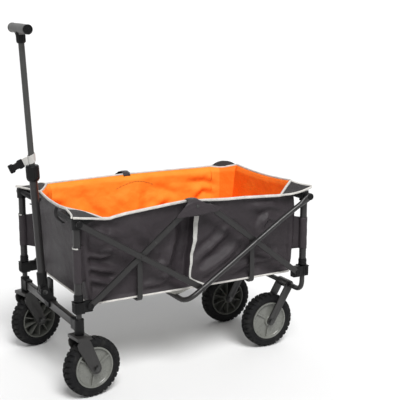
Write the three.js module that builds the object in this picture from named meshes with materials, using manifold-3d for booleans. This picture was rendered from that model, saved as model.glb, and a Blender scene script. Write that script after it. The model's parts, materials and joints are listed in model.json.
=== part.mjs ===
// Folding wagon with a pull handle. Millimetres, +Z up, the handle end points to -Y.
// Left is +X, right is -X. Heights are above the floor.

import * as THREE from 'three';
import { mergeVertices } from 'three/addons/utils/BufferGeometryUtils.js';
import Module from 'manifold-3d';

const wasm = await Module();
wasm.setup();

// ---- Driving dimensions -------------------------------------------------------------------

const GAP = 0.3;                 // clearance between pieces that touch
const RUN = 0.2;                 // radial clearance of a pin in its hole
const PAST = 1;                  // how far cutters run past a piece, and joined solids into each other
const SIDES_OF_ROUND = 16;       // flats that stand for a round surface
const WHEEL_SIDES = 24;
const PIN_SIDES = 12;
const HALF_TRACK = 232;          // corner posts, from the middle plane
const HALF_BASE = 383;           // corner posts, from the middle of the wagon
const LEG_R = 8;
const LEG_TOP = 505;
const POST_R = 11;
const POST_BORE_R = 9.8;         // leaves the leg room to slide
const COLLAR = { r: 13.5, bottom: 293, top: 312 };
const TOP_BRACKET = { r: 15, bottom: 503, top: 533, postTop: 528, bossR: 11, pinFrom: 12 };
const TOP_ARM = { r: 8, end: 104, rise: 2 };     // stub that carries the end rim of the basket
const TOP_WEDGE = { half: 5, foot: 4, knee: 18, kneeRise: 8, reach: 56, lip: 8 };
const LOW_BRACKET = { r: 14, bottom: 257, top: 291, postEarR: 15, pinEarR: 14, earInset: 6 };

const TOP_PIN_Z = 520;           // scissor pins
const LOW_PIN = { y: 351, z: 275 };
const CROSS_PIN = { y: HALF_BASE / 2, z: 400 };
const BASE_PIN_Z = 2 * CROSS_PIN.z - TOP_PIN_Z;
const HUB_PIN = { y: 2 * CROSS_PIN.y - LOW_PIN.y, z: 2 * CROSS_PIN.z - LOW_PIN.z };
const PIN_R = 4;
const PIN_HEAD = { r: 7, thick: 2 };
const BAR = { width: 18, thick: 8 };
const BAR_HOLE_R = PIN_R + RUN;
const HANGER_X = 234;            // layers of the folding side frames, inside to outside
const INNER_X = 242;
const MIDDLE_X = 252;
const OUTER_X = 265;
const BAR_TAIL = 12;              // how far the front top bar runs past its lower pin
const CROSSING_TUBE = { r: 8, overrun: 65, corner: 40, bow: 5, bowAt: 285, eyeR: 11, eyeInset: 3 };
const HANGER = { width: 16, thick: 5, floorZ: 264, corner: 14, overPin: 10 };
const HUB = { half: 45, r: 13, x: 232.7, thick: 7.4, bossR: 9 };
const LOOSE_HOLE_R = 6;          // open end of the linkage: front low bar on the top hub
const LOOSE_PIN_R = 3.2;

const WHEEL = { r: 89, tread: 15, half: 21, rimR: 62, hubHalf: 24, bore: 6.3 };
const SIDEWALL = { widest: 20, shoulder: 7, shoulderInset: 1, seatInset: 3 };
const HUB_DISC = { bossR: 15, footR: 18, inset: 5, rimWidth: 10, lip: 2 };
const AXLE_R = 6;
const AXLE_HEAD = { r: 10, thick: 6 };
const REAR_WHEEL = { x: 134, y: 313 };
const REAR_CROSS_Z = 205;
const REAR_CORNER = 36;
const FORK_PLATE = { inner: 25, thick: 5 };
const REAR_FORK = { sleeveR: 14, plateR: 13 };
const CASTER = { trail: 37.5, crownTop: 192, crown: 10, plateR: 17, stemR: 6, stemTop: 224 };
const CROWN_PLATE = { back: -22, front: 26, chamfer: 4 };
const CHEEK_TOP = { y: 0, drop: 24, r: 22 };
const CASTER_PARKED = { left: 8, right: 15 };   // degrees about +Z

const SOCKET = { r: 14, bottom: 193, top: 240, legStop: 229, armX: 194, armWall: 4 };
const CROSSBAR = { z: 220, height: 24, depth: 16, half: 210 };
const YOKE = {
  cheekIn: 12.6, cheekOut: 18, r: 15, stopTop: 297, stopInset: 1, stopThick: 6, wall: 5, skirt: 8, roof: 6,
  cheekFoot: { inset: 6, rise: 4, r: 12 }, swingRoom: 16,
};
const HANDLE_PIVOT = { y: -405, z: 262 };
const HANDLE_LEAN = 2.95;        // degrees forward
const HANDLE_PIN_R = 5;
const KNUCKLE = { r: 14, halfDepth: 12, neckTop: 26, cup: { r: 15.5, bottom: 21, top: 58 }, sideRun: 0.6 };
const HANDLE_PIN_HEAD = { r: 8, thick: 3 };
const OUTER_TUBE = { r: 12, bore: 10.4, bottom: 32.5, top: 368 };
const INNER_TUBE = { r: 9, bore: 7.6, bottom: 292, top: 764 };
const HANDLE_COLLAR = { r: 20, footR: 15, bottom: 341, top: 388, flare: 10, edge: 3, run: 0.5 };
const STRAP = { z: 409, width: 24, thick: 1.8, reach: 30, run: 0.9, droop: 20 };   // droop in degrees
const BUCKLE = { from: 28.5, to: 74, half: 13.5, waist: 9, notch: 5, thick: 9 };
const GRIP = { z: 785, r: 14, half: 69, stemBottom: 744, stemR: 13.5, soft: 5, bevel: 1.5 };

const CORNER_STEPS = 4;
const BASKET = { halfX: 222, halfY: 345, bottom: 272, top: 531, wall: 4, corner: 16 };

// ---- Materials ----------------------------------------------------------------------------

const surface = (color, roughness, metalness) =>
  new THREE.MeshStandardMaterial({ color, roughness, metalness });
const PAINTED = surface('#414341', 0.5, 0.35);
const PLASTIC = surface('#1b1b1d', 0.55, 0);
const HUB_PLASTIC = surface('#4b4c4e', 0.5, 0);
const TYRE = surface('#1a1a1b', 0.85, 0);
const STEEL = surface('#9a9c9f', 0.35, 0.9);
const FABRIC = surface('#3f3d42', 0.9, 0);
const WEBBING = surface('#b9bcbd', 0.85, 0);

// ---- Solid helpers ------------------------------------------------------------------------

function toSolid(geometry) {
  const bare = geometry.index ? geometry.toNonIndexed() : geometry.clone();
  bare.deleteAttribute('normal');
  bare.deleteAttribute('uv');
  const merged = mergeVertices(bare, 1e-3);
  return new wasm.Manifold(new wasm.Mesh({
    numProp: 3,
    vertProperties: Float32Array.from(merged.attributes.position.array),
    triVerts: Uint32Array.from(merged.index.array),
  }));
}

function toGeometry(solid) {
  const mesh = solid.getMesh();
  const geometry = new THREE.BufferGeometry();
  geometry.setAttribute('position', new THREE.BufferAttribute(mesh.vertProperties, 3));
  geometry.setIndex(new THREE.BufferAttribute(mesh.triVerts, 1));
  return geometry;
}

function carve(added, removed = []) {
  let solid = toSolid(added[0]);
  for (const geometry of added.slice(1)) solid = solid.add(toSolid(geometry));
  for (const geometry of removed) solid = solid.subtract(toSolid(geometry));
  return toGeometry(solid);
}

function cylinder(axis, r, low, high, [u, v], sides = SIDES_OF_ROUND) {
  const geometry = new THREE.CylinderGeometry(r, r, high - low, sides);
  const middle = (low + high) / 2;
  if (axis === 'x') return geometry.rotateZ(-Math.PI / 2).translate(middle, u, v);
  if (axis === 'y') return geometry.translate(u, middle, v);
  return geometry.rotateX(Math.PI / 2).translate(u, v, middle);
}

function block([x0, x1], [y0, y1], [z0, z1]) {
  const geometry = new THREE.BoxGeometry(x1 - x0, y1 - y0, z1 - z0);
  return geometry.translate((x0 + x1) / 2, (y0 + y1) / 2, (z0 + z1) / 2);
}

// A shape drawn in (y, z) and given thickness along x.
function plateAlongX(shape, x0, x1) {
  const turn = new THREE.Matrix4().set(0, 0, 1, 0, 1, 0, 0, 0, 0, 1, 0, 0, 0, 0, 0, 1);
  const geometry = new THREE.ExtrudeGeometry(shape, { depth: x1 - x0, bevelEnabled: false });
  return geometry.applyMatrix4(turn).translate(x0, 0, 0);
}

function polygon(points) {
  return new THREE.Shape(points.map(([u, v]) => new THREE.Vector2(u, v)));
}

// Outline around two circles joined by straight tangents to their outer sides.
function linkShape(from, to, fromR, toR, arcSteps = 5) {
  const heading = Math.atan2(to[1] - from[1], to[0] - from[0]);
  const arc = (centre, r, start) => Array.from({ length: arcSteps + 1 }, (_, i) => {
    const angle = start + (Math.PI * i) / arcSteps;
    return [centre[0] + r * Math.cos(angle), centre[1] + r * Math.sin(angle)];
  });
  return polygon([
    ...arc(from, fromR, heading + Math.PI / 2),
    ...arc(to, toR, heading - Math.PI / 2),
  ]);
}

// A path through given points, with one step of an extrusion between each two of them.
class PointPath extends THREE.Curve {
  constructor(points) {
    super();
    this.points = points;
  }

  getPoint(t, target = new THREE.Vector3()) {
    const place = THREE.MathUtils.clamp(t, 0, 1) * (this.points.length - 1);
    const index = Math.min(Math.floor(place), this.points.length - 2);
    return target.lerpVectors(this.points[index], this.points[index + 1], place - index);
  }

  getUtoTmapping(u) {
    return u;
  }
}

// The corner points with each inner corner rounded to a radius.
function roundedPath(corners, radius, arcSteps = 5) {
  const points = [corners[0].clone()];
  for (let i = 1; i < corners.length - 1; i += 1) {
    const back = corners[i - 1].clone().sub(corners[i]).normalize();
    const ahead = corners[i + 1].clone().sub(corners[i]).normalize();
    const reach = radius / Math.tan(back.angleTo(ahead) / 2);
    const start = corners[i].clone().addScaledVector(back, reach);
    const end = corners[i].clone().addScaledVector(ahead, reach);
    const curve = new THREE.QuadraticBezierCurve3(start, corners[i], end);
    points.push(...curve.getPoints(arcSteps));
  }
  points.push(corners.at(-1).clone());
  return points;
}

// A section drawn in (width, thickness) and carried along points that lie in one plane.
function sweep(points, section) {
  const path = new PointPath(points);
  return new THREE.ExtrudeGeometry(section, { steps: points.length - 1, extrudePath: path });
}

function roundSection(r, sides = 10) {
  return polygon(Array.from({ length: sides }, (_, i) => {
    const angle = (2 * Math.PI * (i + 0.5)) / sides;
    return [r * Math.cos(angle), r * Math.sin(angle)];
  }));
}

function flatSection(width, thick) {
  return polygon([
    [-width / 2, -thick / 2], [width / 2, -thick / 2], [width / 2, thick / 2], [-width / 2, thick / 2],
  ]);
}

// A ring or disc turned about the x axis: profile points are [radius, x].
function turnedAlongX(profile, sides) {
  const points = profile.map(([r, x]) => new THREE.Vector2(r, x));
  return new THREE.LatheGeometry(points, sides).rotateZ(-Math.PI / 2);
}

function turnedAlongZ(profile, sides) {
  const points = profile.map(([r, z]) => new THREE.Vector2(r, z));
  return new THREE.LatheGeometry(points, sides).rotateX(Math.PI / 2);
}

// ---- Assembly helpers ---------------------------------------------------------------------

const wagon = new THREE.Group();

function add(name, geometry, material, parent = wagon) {
  const mesh = new THREE.Mesh(geometry, material);
  mesh.name = name;
  parent.add(mesh);
}

const SIDES = [['left', 1], ['right', -1]];
const ENDS = [['front', -1], ['rear', 1]];

// The two ends of a span across x, on one side of the wagon, in rising order.
const spanX = (side, inner, outer) => (side > 0 ? [inner, outer] : [-outer, -inner]);

function pinX(side, r, inner, outer, centre) {
  const [low, high] = spanX(side, inner, outer);
  return cylinder('x', r, low, high, centre, PIN_SIDES);
}

// ---- Posts, legs and brackets -------------------------------------------------------------

function tubeZ(r, bore, low, high, [x, y]) {
  const profile = [[bore, low], [r, low], [r, high], [bore, high], [bore, low]];
  return turnedAlongZ(profile, SIDES_OF_ROUND).translate(x, y, 0);
}

// The outer face of each bracket's pin boss, which the bar runs against.
const topBossFace = { front: MIDDLE_X - BAR.thick / 2 - GAP, rear: OUTER_X - CROSSING_TUBE.r - GAP };
const topPinEnd = {
  front: MIDDLE_X + BAR.thick / 2,
  rear: OUTER_X + CROSSING_TUBE.r - CROSSING_TUBE.eyeInset,
};
const lowBossFace = { front: INNER_X - BAR.thick / 2 - GAP, rear: MIDDLE_X - BAR.thick / 2 - GAP };
const lowPinEnd = { front: INNER_X + BAR.thick / 2, rear: MIDDLE_X + BAR.thick / 2 };

function headedPin(side, from, face, centre, r = PIN_R) {
  return [
    pinX(side, r, from, face + GAP + PAST, centre),
    pinX(side, PIN_HEAD.r, face + GAP, face + GAP + PIN_HEAD.thick, centre),
  ];
}

function topBracket(end, y, side) {
  const { r, bottom, top, postTop, bossR, pinFrom } = TOP_BRACKET;
  const { half, foot, knee, kneeRise, reach, lip } = TOP_WEDGE;
  const x = side * HALF_TRACK;
  const pin = [y, TOP_PIN_Z];
  const inward = -Math.sign(y);
  const wedge = polygon([
    [y, top], [y, bottom + foot], [y + inward * knee, bottom + kneeRise],
    [y + inward * reach, top - lip], [y + inward * reach, top],
  ]);
  const armAt = [y, TOP_PIN_Z + TOP_ARM.rise];
  const stubArm = cylinder('x', TOP_ARM.r, ...spanX(side, TOP_ARM.end, HALF_TRACK), armAt, PIN_SIDES);
  const wedgePlate = plateAlongX(wedge, ...spanX(side, HALF_TRACK - half, HALF_TRACK + half));
  return carve([
    cylinder('z', r, bottom, top, [x, y]),
    pinX(side, bossR, HALF_TRACK, topBossFace[end], pin),
    stubArm,
    wedgePlate,
    ...headedPin(side, HALF_TRACK + pinFrom, topPinEnd[end], pin),
  ], [
    cylinder('z', POST_R + GAP, bottom - PAST, postTop + GAP, [x, y]),
  ]);
}

function lowBracket(end, y, side) {
  const { r, bottom, top, postEarR, pinEarR, earInset } = LOW_BRACKET;
  const x = side * HALF_TRACK;
  const pin = [Math.sign(y) * LOW_PIN.y, LOW_PIN.z];
  const ear = linkShape([y, LOW_PIN.z], pin, postEarR, pinEarR);
  const earPlate = plateAlongX(ear, ...spanX(side, HALF_TRACK - earInset, lowBossFace[end]));
  return carve([
    cylinder('z', r, bottom, top, [x, y]),
    earPlate,
    ...headedPin(side, HALF_TRACK, lowPinEnd[end], pin),
  ], [
    cylinder('z', LEG_R + GAP, bottom - PAST, top + PAST, [x, y]),
  ]);
}

for (const [end, sign] of ENDS) {
  const y = sign * HALF_BASE;
  for (const [hand, side] of SIDES) {
    const at = [side * HALF_TRACK, y];
    const post = tubeZ(POST_R, POST_BORE_R, COLLAR.top + GAP, TOP_BRACKET.postTop, at);
    add(`${end}_post_${hand}`, post, PAINTED);
    const collar = tubeZ(COLLAR.r, POST_BORE_R, COLLAR.bottom, COLLAR.top, at);
    add(`${end}_collar_${hand}`, collar, PLASTIC);
    add(`${end}_top_bracket_${hand}`, topBracket(end, y, side), PLASTIC);
    add(`${end}_lower_bracket_${hand}`, lowBracket(end, y, side), PLASTIC);
  }
}

// ---- Rear leg frame and forks -------------------------------------------------------------

function rearLegFrame() {
  const leg = (side, z) => new THREE.Vector3(side * HALF_TRACK, HALF_BASE, z);
  const corners = [leg(1, LEG_TOP), leg(1, REAR_CROSS_Z), leg(-1, REAR_CROSS_Z), leg(-1, LEG_TOP)];
  return sweep(roundedPath(corners, REAR_CORNER), roundSection(LEG_R));
}

function rearFork(side) {
  const axle = [REAR_WHEEL.y, WHEEL.r];
  const tube = [HALF_BASE, REAR_CROSS_Z];
  const outline = linkShape(tube, axle, REAR_FORK.sleeveR, REAR_FORK.plateR);
  const middle = side * REAR_WHEEL.x;
  const { inner, thick } = FORK_PLATE;
  const span = inner + thick;
  return carve([
    cylinder('x', REAR_FORK.sleeveR, middle - span, middle + span, tube),
    plateAlongX(outline, middle - span, middle - inner),
    plateAlongX(outline, middle + inner, middle + span),
  ], [
    cylinder('x', LEG_R + GAP, middle - span - PAST, middle + span + PAST, tube),
    cylinder('x', AXLE_R + RUN, middle - span - PAST, middle + span + PAST, axle),
  ]);
}

add('rear_leg_frame', rearLegFrame(), PAINTED);
for (const [hand, side] of SIDES) add(`rear_fork_${hand}`, rearFork(side), PAINTED);

// ---- Wheels -------------------------------------------------------------------------------

function tyre() {
  const { r, tread, half, rimR } = WHEEL;
  const { widest, shoulder, shoulderInset, seatInset } = SIDEWALL;
  const seat = rimR + GAP;
  return turnedAlongX([
    [seat, -half + seatInset], [r - widest, -half], [r - shoulder, -half + shoulderInset], [r, -tread],
    [r, tread], [r - shoulder, half - shoulderInset], [r - widest, half], [seat, half - seatInset],
    [seat, -half + seatInset],
  ], WHEEL_SIDES);
}

function wheelHub() {
  const { rimR, half, hubHalf, bore } = WHEEL;
  const { bossR, footR, inset, rimWidth, lip } = HUB_DISC;
  const face = half - inset;
  const edge = half - lip;
  return turnedAlongX([
    [bore, -hubHalf], [bossR, -hubHalf], [footR, -face], [rimR - rimWidth, -face],
    [rimR, -edge], [rimR, edge], [rimR - rimWidth, face], [footR, face],
    [bossR, hubHalf], [bore, hubHalf], [bore, -hubHalf],
  ], WHEEL_SIDES);
}

function axle() {
  const reach = FORK_PLATE.inner + FORK_PLATE.thick + GAP;
  const end = reach + AXLE_HEAD.thick;
  return turnedAlongX([
    [0, -end], [AXLE_HEAD.r, -end], [AXLE_HEAD.r, -reach], [AXLE_R, -reach],
    [AXLE_R, reach], [AXLE_HEAD.r, reach], [AXLE_HEAD.r, end], [0, end],
  ], PIN_SIDES);
}

function addWheel(end, hand, parent) {
  const hub = end === 'rear' ? 'rear_wheel_hub' : 'front_wheel_hub';
  add(`${end}_tyre_${hand}`, tyre(), TYRE, parent);
  add(`${hub}_${hand}`, wheelHub(), HUB_PLASTIC, parent);
  add(`${end}_axle_${hand}`, axle(), STEEL, parent);
}

for (const [hand, side] of SIDES) {
  const wheel = new THREE.Group();
  wheel.position.set(side * REAR_WHEEL.x, REAR_WHEEL.y, WHEEL.r);
  addWheel('rear', hand, wheel);
  wagon.add(wheel);
}

// ---- Casters ------------------------------------------------------------------------------

function casterFork() {
  const { trail, crownTop, crown, plateR, stemR, stemTop } = CASTER;
  const { inner, thick } = FORK_PLATE;
  const span = inner + thick;
  const { back, front, chamfer } = CROWN_PLATE;
  const axleAt = [trail, WHEEL.r];
  const cheek = linkShape([CHEEK_TOP.y, crownTop - CHEEK_TOP.drop], axleAt, CHEEK_TOP.r, plateR);
  const head = polygon([
    [back, crownTop - crown], [front, crownTop - crown], [front - chamfer, crownTop], [back, crownTop],
  ]);
  const cheeks = [[-span, -inner], [inner, span]].map(([low, high]) => plateAlongX(cheek, low, high));
  return carve([
    plateAlongX(head, -span, span),
    ...cheeks,
    cylinder('z', stemR, crownTop - PAST, stemTop, [0, 0]),
  ], [
    cylinder('x', AXLE_R + RUN, -span - PAST, span + PAST, axleAt),
  ]);
}

for (const [hand, side] of SIDES) {
  const caster = new THREE.Group();
  caster.position.set(side * HALF_TRACK, -HALF_BASE, 0);
  caster.rotation.z = THREE.MathUtils.degToRad(CASTER_PARKED[hand]);
  add(`caster_fork_${hand}`, casterFork(), PAINTED, caster);
  const wheel = new THREE.Group();
  wheel.position.set(0, CASTER.trail, WHEEL.r);
  addWheel('front', hand, wheel);
  caster.add(wheel);
  wagon.add(caster);
}

// ---- Front frame --------------------------------------------------------------------------

function casterSocket(side) {
  const at = [side * HALF_TRACK, -HALF_BASE];
  const { r, bottom, top, legStop, armX, armWall } = SOCKET;
  const halfDepth = CROSSBAR.depth / 2;
  const halfHeight = CROSSBAR.height / 2;
  const around = (extra) => [
    [-HALF_BASE - halfDepth - extra, -HALF_BASE + halfDepth + extra],
    [CROSSBAR.z - halfHeight - extra, CROSSBAR.z + halfHeight + extra],
  ];
  return carve([
    cylinder('z', r, bottom, top, at),
    block(spanX(side, armX, HALF_TRACK), ...around(armWall)),
  ], [
    block(spanX(side, armX - PAST, CROSSBAR.half + GAP), ...around(GAP)),
    cylinder('z', LEG_R + GAP, legStop, top + PAST, at),
    cylinder('z', CASTER.stemR + RUN, bottom - PAST, CASTER.stemTop + PAST, at),
  ]);
}

function frontCrossbar() {
  const { z, height, depth, half } = CROSSBAR;
  const y = -HALF_BASE;
  return block([-half, half], [y - depth / 2, y + depth / 2], [z - height / 2, z + height / 2]);
}

function handleYoke() {
  const { cheekIn, cheekOut, r, stopTop, stopInset, stopThick, wall, skirt, roof, cheekFoot } = YOKE;
  const pivot = [HANDLE_PIVOT.y, HANDLE_PIVOT.z];
  const halfDepth = CROSSBAR.depth / 2;
  const crossTop = CROSSBAR.z + CROSSBAR.height / 2;
  const width = [-cheekOut, cheekOut];
  const wide = [-cheekOut - PAST, cheekOut + PAST];
  const saddleBottom = CROSSBAR.z - skirt;
  const stopFace = -HALF_BASE - stopInset;
  const cheek = linkShape([-HALF_BASE - cheekFoot.inset, crossTop + cheekFoot.rise], pivot, cheekFoot.r, r);
  const cheeks = [[-cheekOut, -cheekIn], [cheekIn, cheekOut]].map(([a, b]) => plateAlongX(cheek, a, b));
  const around = (extra) => [-HALF_BASE - halfDepth - extra, -HALF_BASE + halfDepth + extra];
  return carve([
    block(width, around(wall), [saddleBottom, crossTop + roof]),
    block(width, [stopFace, stopFace + stopThick], [crossTop, stopTop]),
    ...cheeks,
  ], [
    block(wide, around(GAP), [saddleBottom - PAST, crossTop + GAP]),
    cylinder('x', HANDLE_PIN_R + GAP, ...wide, pivot),
    cylinder('x', YOKE.swingRoom, -cheekIn, cheekIn, pivot),
  ]);
}

for (const [hand, side] of SIDES) {
  const leg = cylinder('z', LEG_R, SOCKET.legStop + GAP, LEG_TOP, [side * HALF_TRACK, -HALF_BASE]);
  add(`front_leg_${hand}`, leg, PAINTED);
  add(`caster_socket_${hand}`, casterSocket(side), PLASTIC);
}
add('front_crossbar', frontCrossbar(), PAINTED);
add('handle_yoke', handleYoke(), PLASTIC);

// ---- Folding side bars --------------------------------------------------------------------

function bar(side, x, from, to, holes, studs = []) {
  const [low, high] = spanX(side, x - BAR.thick / 2, x + BAR.thick / 2);
  const outline = linkShape(from, to, BAR.width / 2, BAR.width / 2);
  const cutters = holes.map(([at, r]) => cylinder('x', r, low - PAST, high + PAST, at, PIN_SIDES));
  return carve([plateAlongX(outline, low, high), ...studs], cutters);
}

const crossPin = (sign) => [sign * CROSS_PIN.y, CROSS_PIN.z];
const basePin = [0, BASE_PIN_Z];
const hangerFace = HANGER_X - HANGER.thick / 2 - GAP;

// A stud that runs inward from a bar, through what hangs on it, to a head.
function inwardStud(side, from, face, centre) {
  return [
    pinX(side, PIN_R, face - PAST, from, centre),
    pinX(side, PIN_HEAD.r, face - PIN_HEAD.thick, face, centre),
  ];
}

function frontTopBar(side) {
  const studFrom = MIDDLE_X - BAR.thick / 2 + PAST;
  const holes = [[[-HALF_BASE, TOP_PIN_Z], BAR_HOLE_R], [basePin, BAR_HOLE_R]];
  const studs = inwardStud(side, studFrom, hangerFace, crossPin(-1));
  const heading = new THREE.Vector2(HALF_BASE, BASE_PIN_Z - TOP_PIN_Z).normalize();
  const end = [BAR_TAIL * heading.x, BASE_PIN_Z + BAR_TAIL * heading.y];
  return bar(side, MIDDLE_X, [-HALF_BASE, TOP_PIN_Z], end, holes, studs);
}

function lowBar(side, sign) {
  const lowEnd = [sign * LOW_PIN.y, LOW_PIN.z];
  const hubEnd = [sign * HUB_PIN.y, HUB_PIN.z];
  const hubHole = sign > 0 ? BAR_HOLE_R : LOOSE_HOLE_R;
  const holes = [[lowEnd, BAR_HOLE_R], [crossPin(sign), BAR_HOLE_R], [hubEnd, hubHole]];
  return bar(side, sign > 0 ? MIDDLE_X : INNER_X, lowEnd, hubEnd, holes);
}

function crossingTube() {
  const { r, overrun, corner, bow, bowAt, eyeR, eyeInset } = CROSSING_TUBE;
  const topPin = [HALF_BASE, TOP_PIN_Z];
  const eyeFace = OUTER_X + r - eyeInset;
  const outside = OUTER_X + 2 * r;
  const slope = (TOP_PIN_Z - BASE_PIN_Z) / HALF_BASE;
  const down = new THREE.Vector2(-1, -slope).normalize();
  const half = [
    [HALF_BASE, TOP_PIN_Z], [bowAt, BASE_PIN_Z + bowAt * slope + bow], [0, BASE_PIN_Z],
    [overrun * down.x, BASE_PIN_Z + overrun * down.y],
  ];
  const at = (side) => ([y, z]) => new THREE.Vector3(side * OUTER_X, y, z);
  const left = half.map(at(1));
  const right = half.map(at(-1)).reverse();
  const tube = sweep([
    ...left.slice(0, 3),
    ...roundedPath([left[2], left[3], right[0], right[1]], corner).slice(1, -1),
    ...right.slice(1),
  ], roundSection(r));
  const eye = (side) => pinX(side, eyeR, OUTER_X - r, eyeFace, topPin);
  const studs = (side) => [
    ...inwardStud(side, OUTER_X, hangerFace, crossPin(1)),
    ...inwardStud(side, OUTER_X, MIDDLE_X - BAR.thick / 2 - GAP, basePin),
  ];
  const hole = (side) => pinX(side, BAR_HOLE_R, OUTER_X - 2 * r, outside, topPin);
  const headRoom = (side) => pinX(side, eyeR + PAST, eyeFace, outside, topPin);
  return carve(
    [tube, eye(1), eye(-1), ...studs(1), ...studs(-1)],
    [hole(1), hole(-1), headRoom(1), headRoom(-1)],
  );
}

// The block at the top centre that both low bars reach, 2 x HUB_PIN.y apart.
function topHub(side) {
  const { half, r, x, thick, bossR } = HUB;
  const plate = linkShape([r - half, HUB_PIN.z], [half - r, HUB_PIN.z], r, r);
  const frontPin = [-HUB_PIN.y, HUB_PIN.z];
  const rearPin = [HUB_PIN.y, HUB_PIN.z];
  return carve([
    plateAlongX(plate, ...spanX(side, x - thick / 2, x + thick / 2)),
    ...headedPin(side, x, INNER_X + BAR.thick / 2, frontPin, LOOSE_PIN_R),
    pinX(side, bossR, x, MIDDLE_X - BAR.thick / 2 - GAP, rearPin),
    ...headedPin(side, x, MIDDLE_X + BAR.thick / 2, rearPin),
  ]);
}

// A strap bent into a U: down from the cross pin, under the floor and up to the other side.
function floorHanger(sign) {
  const { width, thick, floorZ, corner, overPin } = HANGER;
  const at = (side, z) => new THREE.Vector3(side * HANGER_X, sign * CROSS_PIN.y, z);
  const top = CROSS_PIN.z + overPin;
  const corners = [at(1, top), at(1, floorZ), at(-1, floorZ), at(-1, top)];
  const strap = sweep(roundedPath(corners, corner), flatSection(width, thick));
  const hole = (side) => pinX(side, BAR_HOLE_R, HANGER_X - thick, HANGER_X + thick, crossPin(sign));
  return carve([strap], [hole(1), hole(-1)]);
}

for (const [hand, side] of SIDES) {
  add(`front_top_bar_${hand}`, frontTopBar(side), PAINTED);
  add(`front_low_bar_${hand}`, lowBar(side, -1), PAINTED);
  add(`rear_low_bar_${hand}`, lowBar(side, 1), PAINTED);
  add(`top_hub_${hand}`, topHub(side), PLASTIC);
}
add('crossing_tube', crossingTube(), PAINTED);
for (const [end, sign] of ENDS) add(`${end}_floor_hanger`, floorHanger(sign), PAINTED);

// ---- Pull handle --------------------------------------------------------------------------
// Built straight up from its pivot, then leaned forward.

const handle = new THREE.Group();
handle.position.set(0, HANDLE_PIVOT.y, HANDLE_PIVOT.z);
handle.rotation.x = THREE.MathUtils.degToRad(HANDLE_LEAN);
wagon.add(handle);

function handleKnuckle() {
  const { r, halfDepth, neckTop, cup, sideRun } = KNUCKLE;
  const width = YOKE.cheekIn - sideRun;
  const seat = OUTER_TUBE.bottom - GAP;
  return carve([
    cylinder('x', r, -width, width, [0, 0]),
    block([-width, width], [-halfDepth, halfDepth], [0, neckTop]),
    cylinder('z', cup.r, cup.bottom, cup.top, [0, 0]),
  ], [
    cylinder('z', OUTER_TUBE.r + GAP, seat, cup.top + PAST, [0, 0]),
    cylinder('x', HANDLE_PIN_R + GAP, -width - PAST, width + PAST, [0, 0]),
  ]);
}

function handlePin() {
  const reach = YOKE.cheekOut + GAP;
  const { r, thick } = HANDLE_PIN_HEAD;
  const end = reach + thick;
  return turnedAlongX([
    [0, -end], [r, -end], [r, -reach], [HANDLE_PIN_R, -reach],
    [HANDLE_PIN_R, reach], [r, reach], [r, end], [0, end],
  ], SIDES_OF_ROUND);
}

function handleCollar() {
  const { r, footR, bottom, top, flare, edge, run } = HANDLE_COLLAR;
  const outerBore = OUTER_TUBE.r + GAP;
  const innerBore = INNER_TUBE.r + run;
  const step = OUTER_TUBE.top + GAP;
  return turnedAlongZ([
    [outerBore, bottom], [footR, bottom], [r, bottom + flare], [r, top - edge], [r - edge, top],
    [innerBore, top], [innerBore, step], [outerBore, step], [outerBore, bottom],
  ], SIDES_OF_ROUND);
}

// An outline in (y, z) that falls towards -Y as the strap does: each point is [y, height over the middle].
function slanted(points) {
  const slope = Math.tan(THREE.MathUtils.degToRad(STRAP.droop));
  return polygon(points.map(([y, height]) => [y, STRAP.z + y * slope + height]));
}

function handleStrap() {
  const { z, width, thick, reach, run } = STRAP;
  const bore = INNER_TUBE.r + run;
  const half = width / 2;
  const tall = 2 * width;
  const tongue = slanted([[-reach, -half], [-bore, -half], [-bore, half], [-reach, half]]);
  const outside = (sign) => slanted([
    [-tall, sign * half], [tall, sign * half], [tall, sign * 2 * tall], [-tall, sign * 2 * tall],
  ]);
  return carve([
    cylinder('z', bore + thick, z - width, z + width, [0, 0]),
    plateAlongX(tongue, -thick, thick),
  ], [
    cylinder('z', bore, z - width - PAST, z + width + PAST, [0, 0]),
    plateAlongX(outside(1), -tall, tall),
    plateAlongX(outside(-1), -tall, tall),
  ]);
}

// The strap's tongue ends inside the buckle's open mouth.
function handleBuckle() {
  const { from, to, half, waist, notch, thick } = BUCKLE;
  const middle = (from + to) / 2;
  const droop = THREE.MathUtils.degToRad(STRAP.droop);
  const outline = polygon([
    [-from, half], [notch - middle, half], [-middle, waist], [-middle - notch, half],
    [-to, half], [-to, -half], [-middle - notch, -half], [-middle, -waist],
    [notch - middle, -half], [-from, -half],
  ]);
  const body = plateAlongX(outline, -thick / 2, thick / 2).rotateX(droop).translate(0, 0, STRAP.z);
  const room = STRAP.width / 2 + GAP;
  const mouth = slanted([
    [-STRAP.reach - GAP, -room], [PAST - BUCKLE.from + STRAP.width, -room],
    [PAST - BUCKLE.from + STRAP.width, room], [-STRAP.reach - GAP, room],
  ]);
  return carve([body], [plateAlongX(mouth, -STRAP.thick - GAP, STRAP.thick + GAP)]);
}

function handleGrip() {
  const { z, r, half, stemBottom, stemR, soft, bevel } = GRIP;
  const bar = turnedAlongX([
    [0, -half], [r - soft, -half], [r - bevel, bevel - half], [r, soft - half],
    [r, half - soft], [r - bevel, half - bevel], [r - soft, half], [0, half],
  ], SIDES_OF_ROUND).translate(0, 0, z);
  return carve([
    bar,
    cylinder('z', stemR, stemBottom, z, [0, 0]),
  ], [
    cylinder('z', INNER_TUBE.r + GAP, stemBottom - PAST, INNER_TUBE.top + GAP, [0, 0]),
  ]);
}

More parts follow.
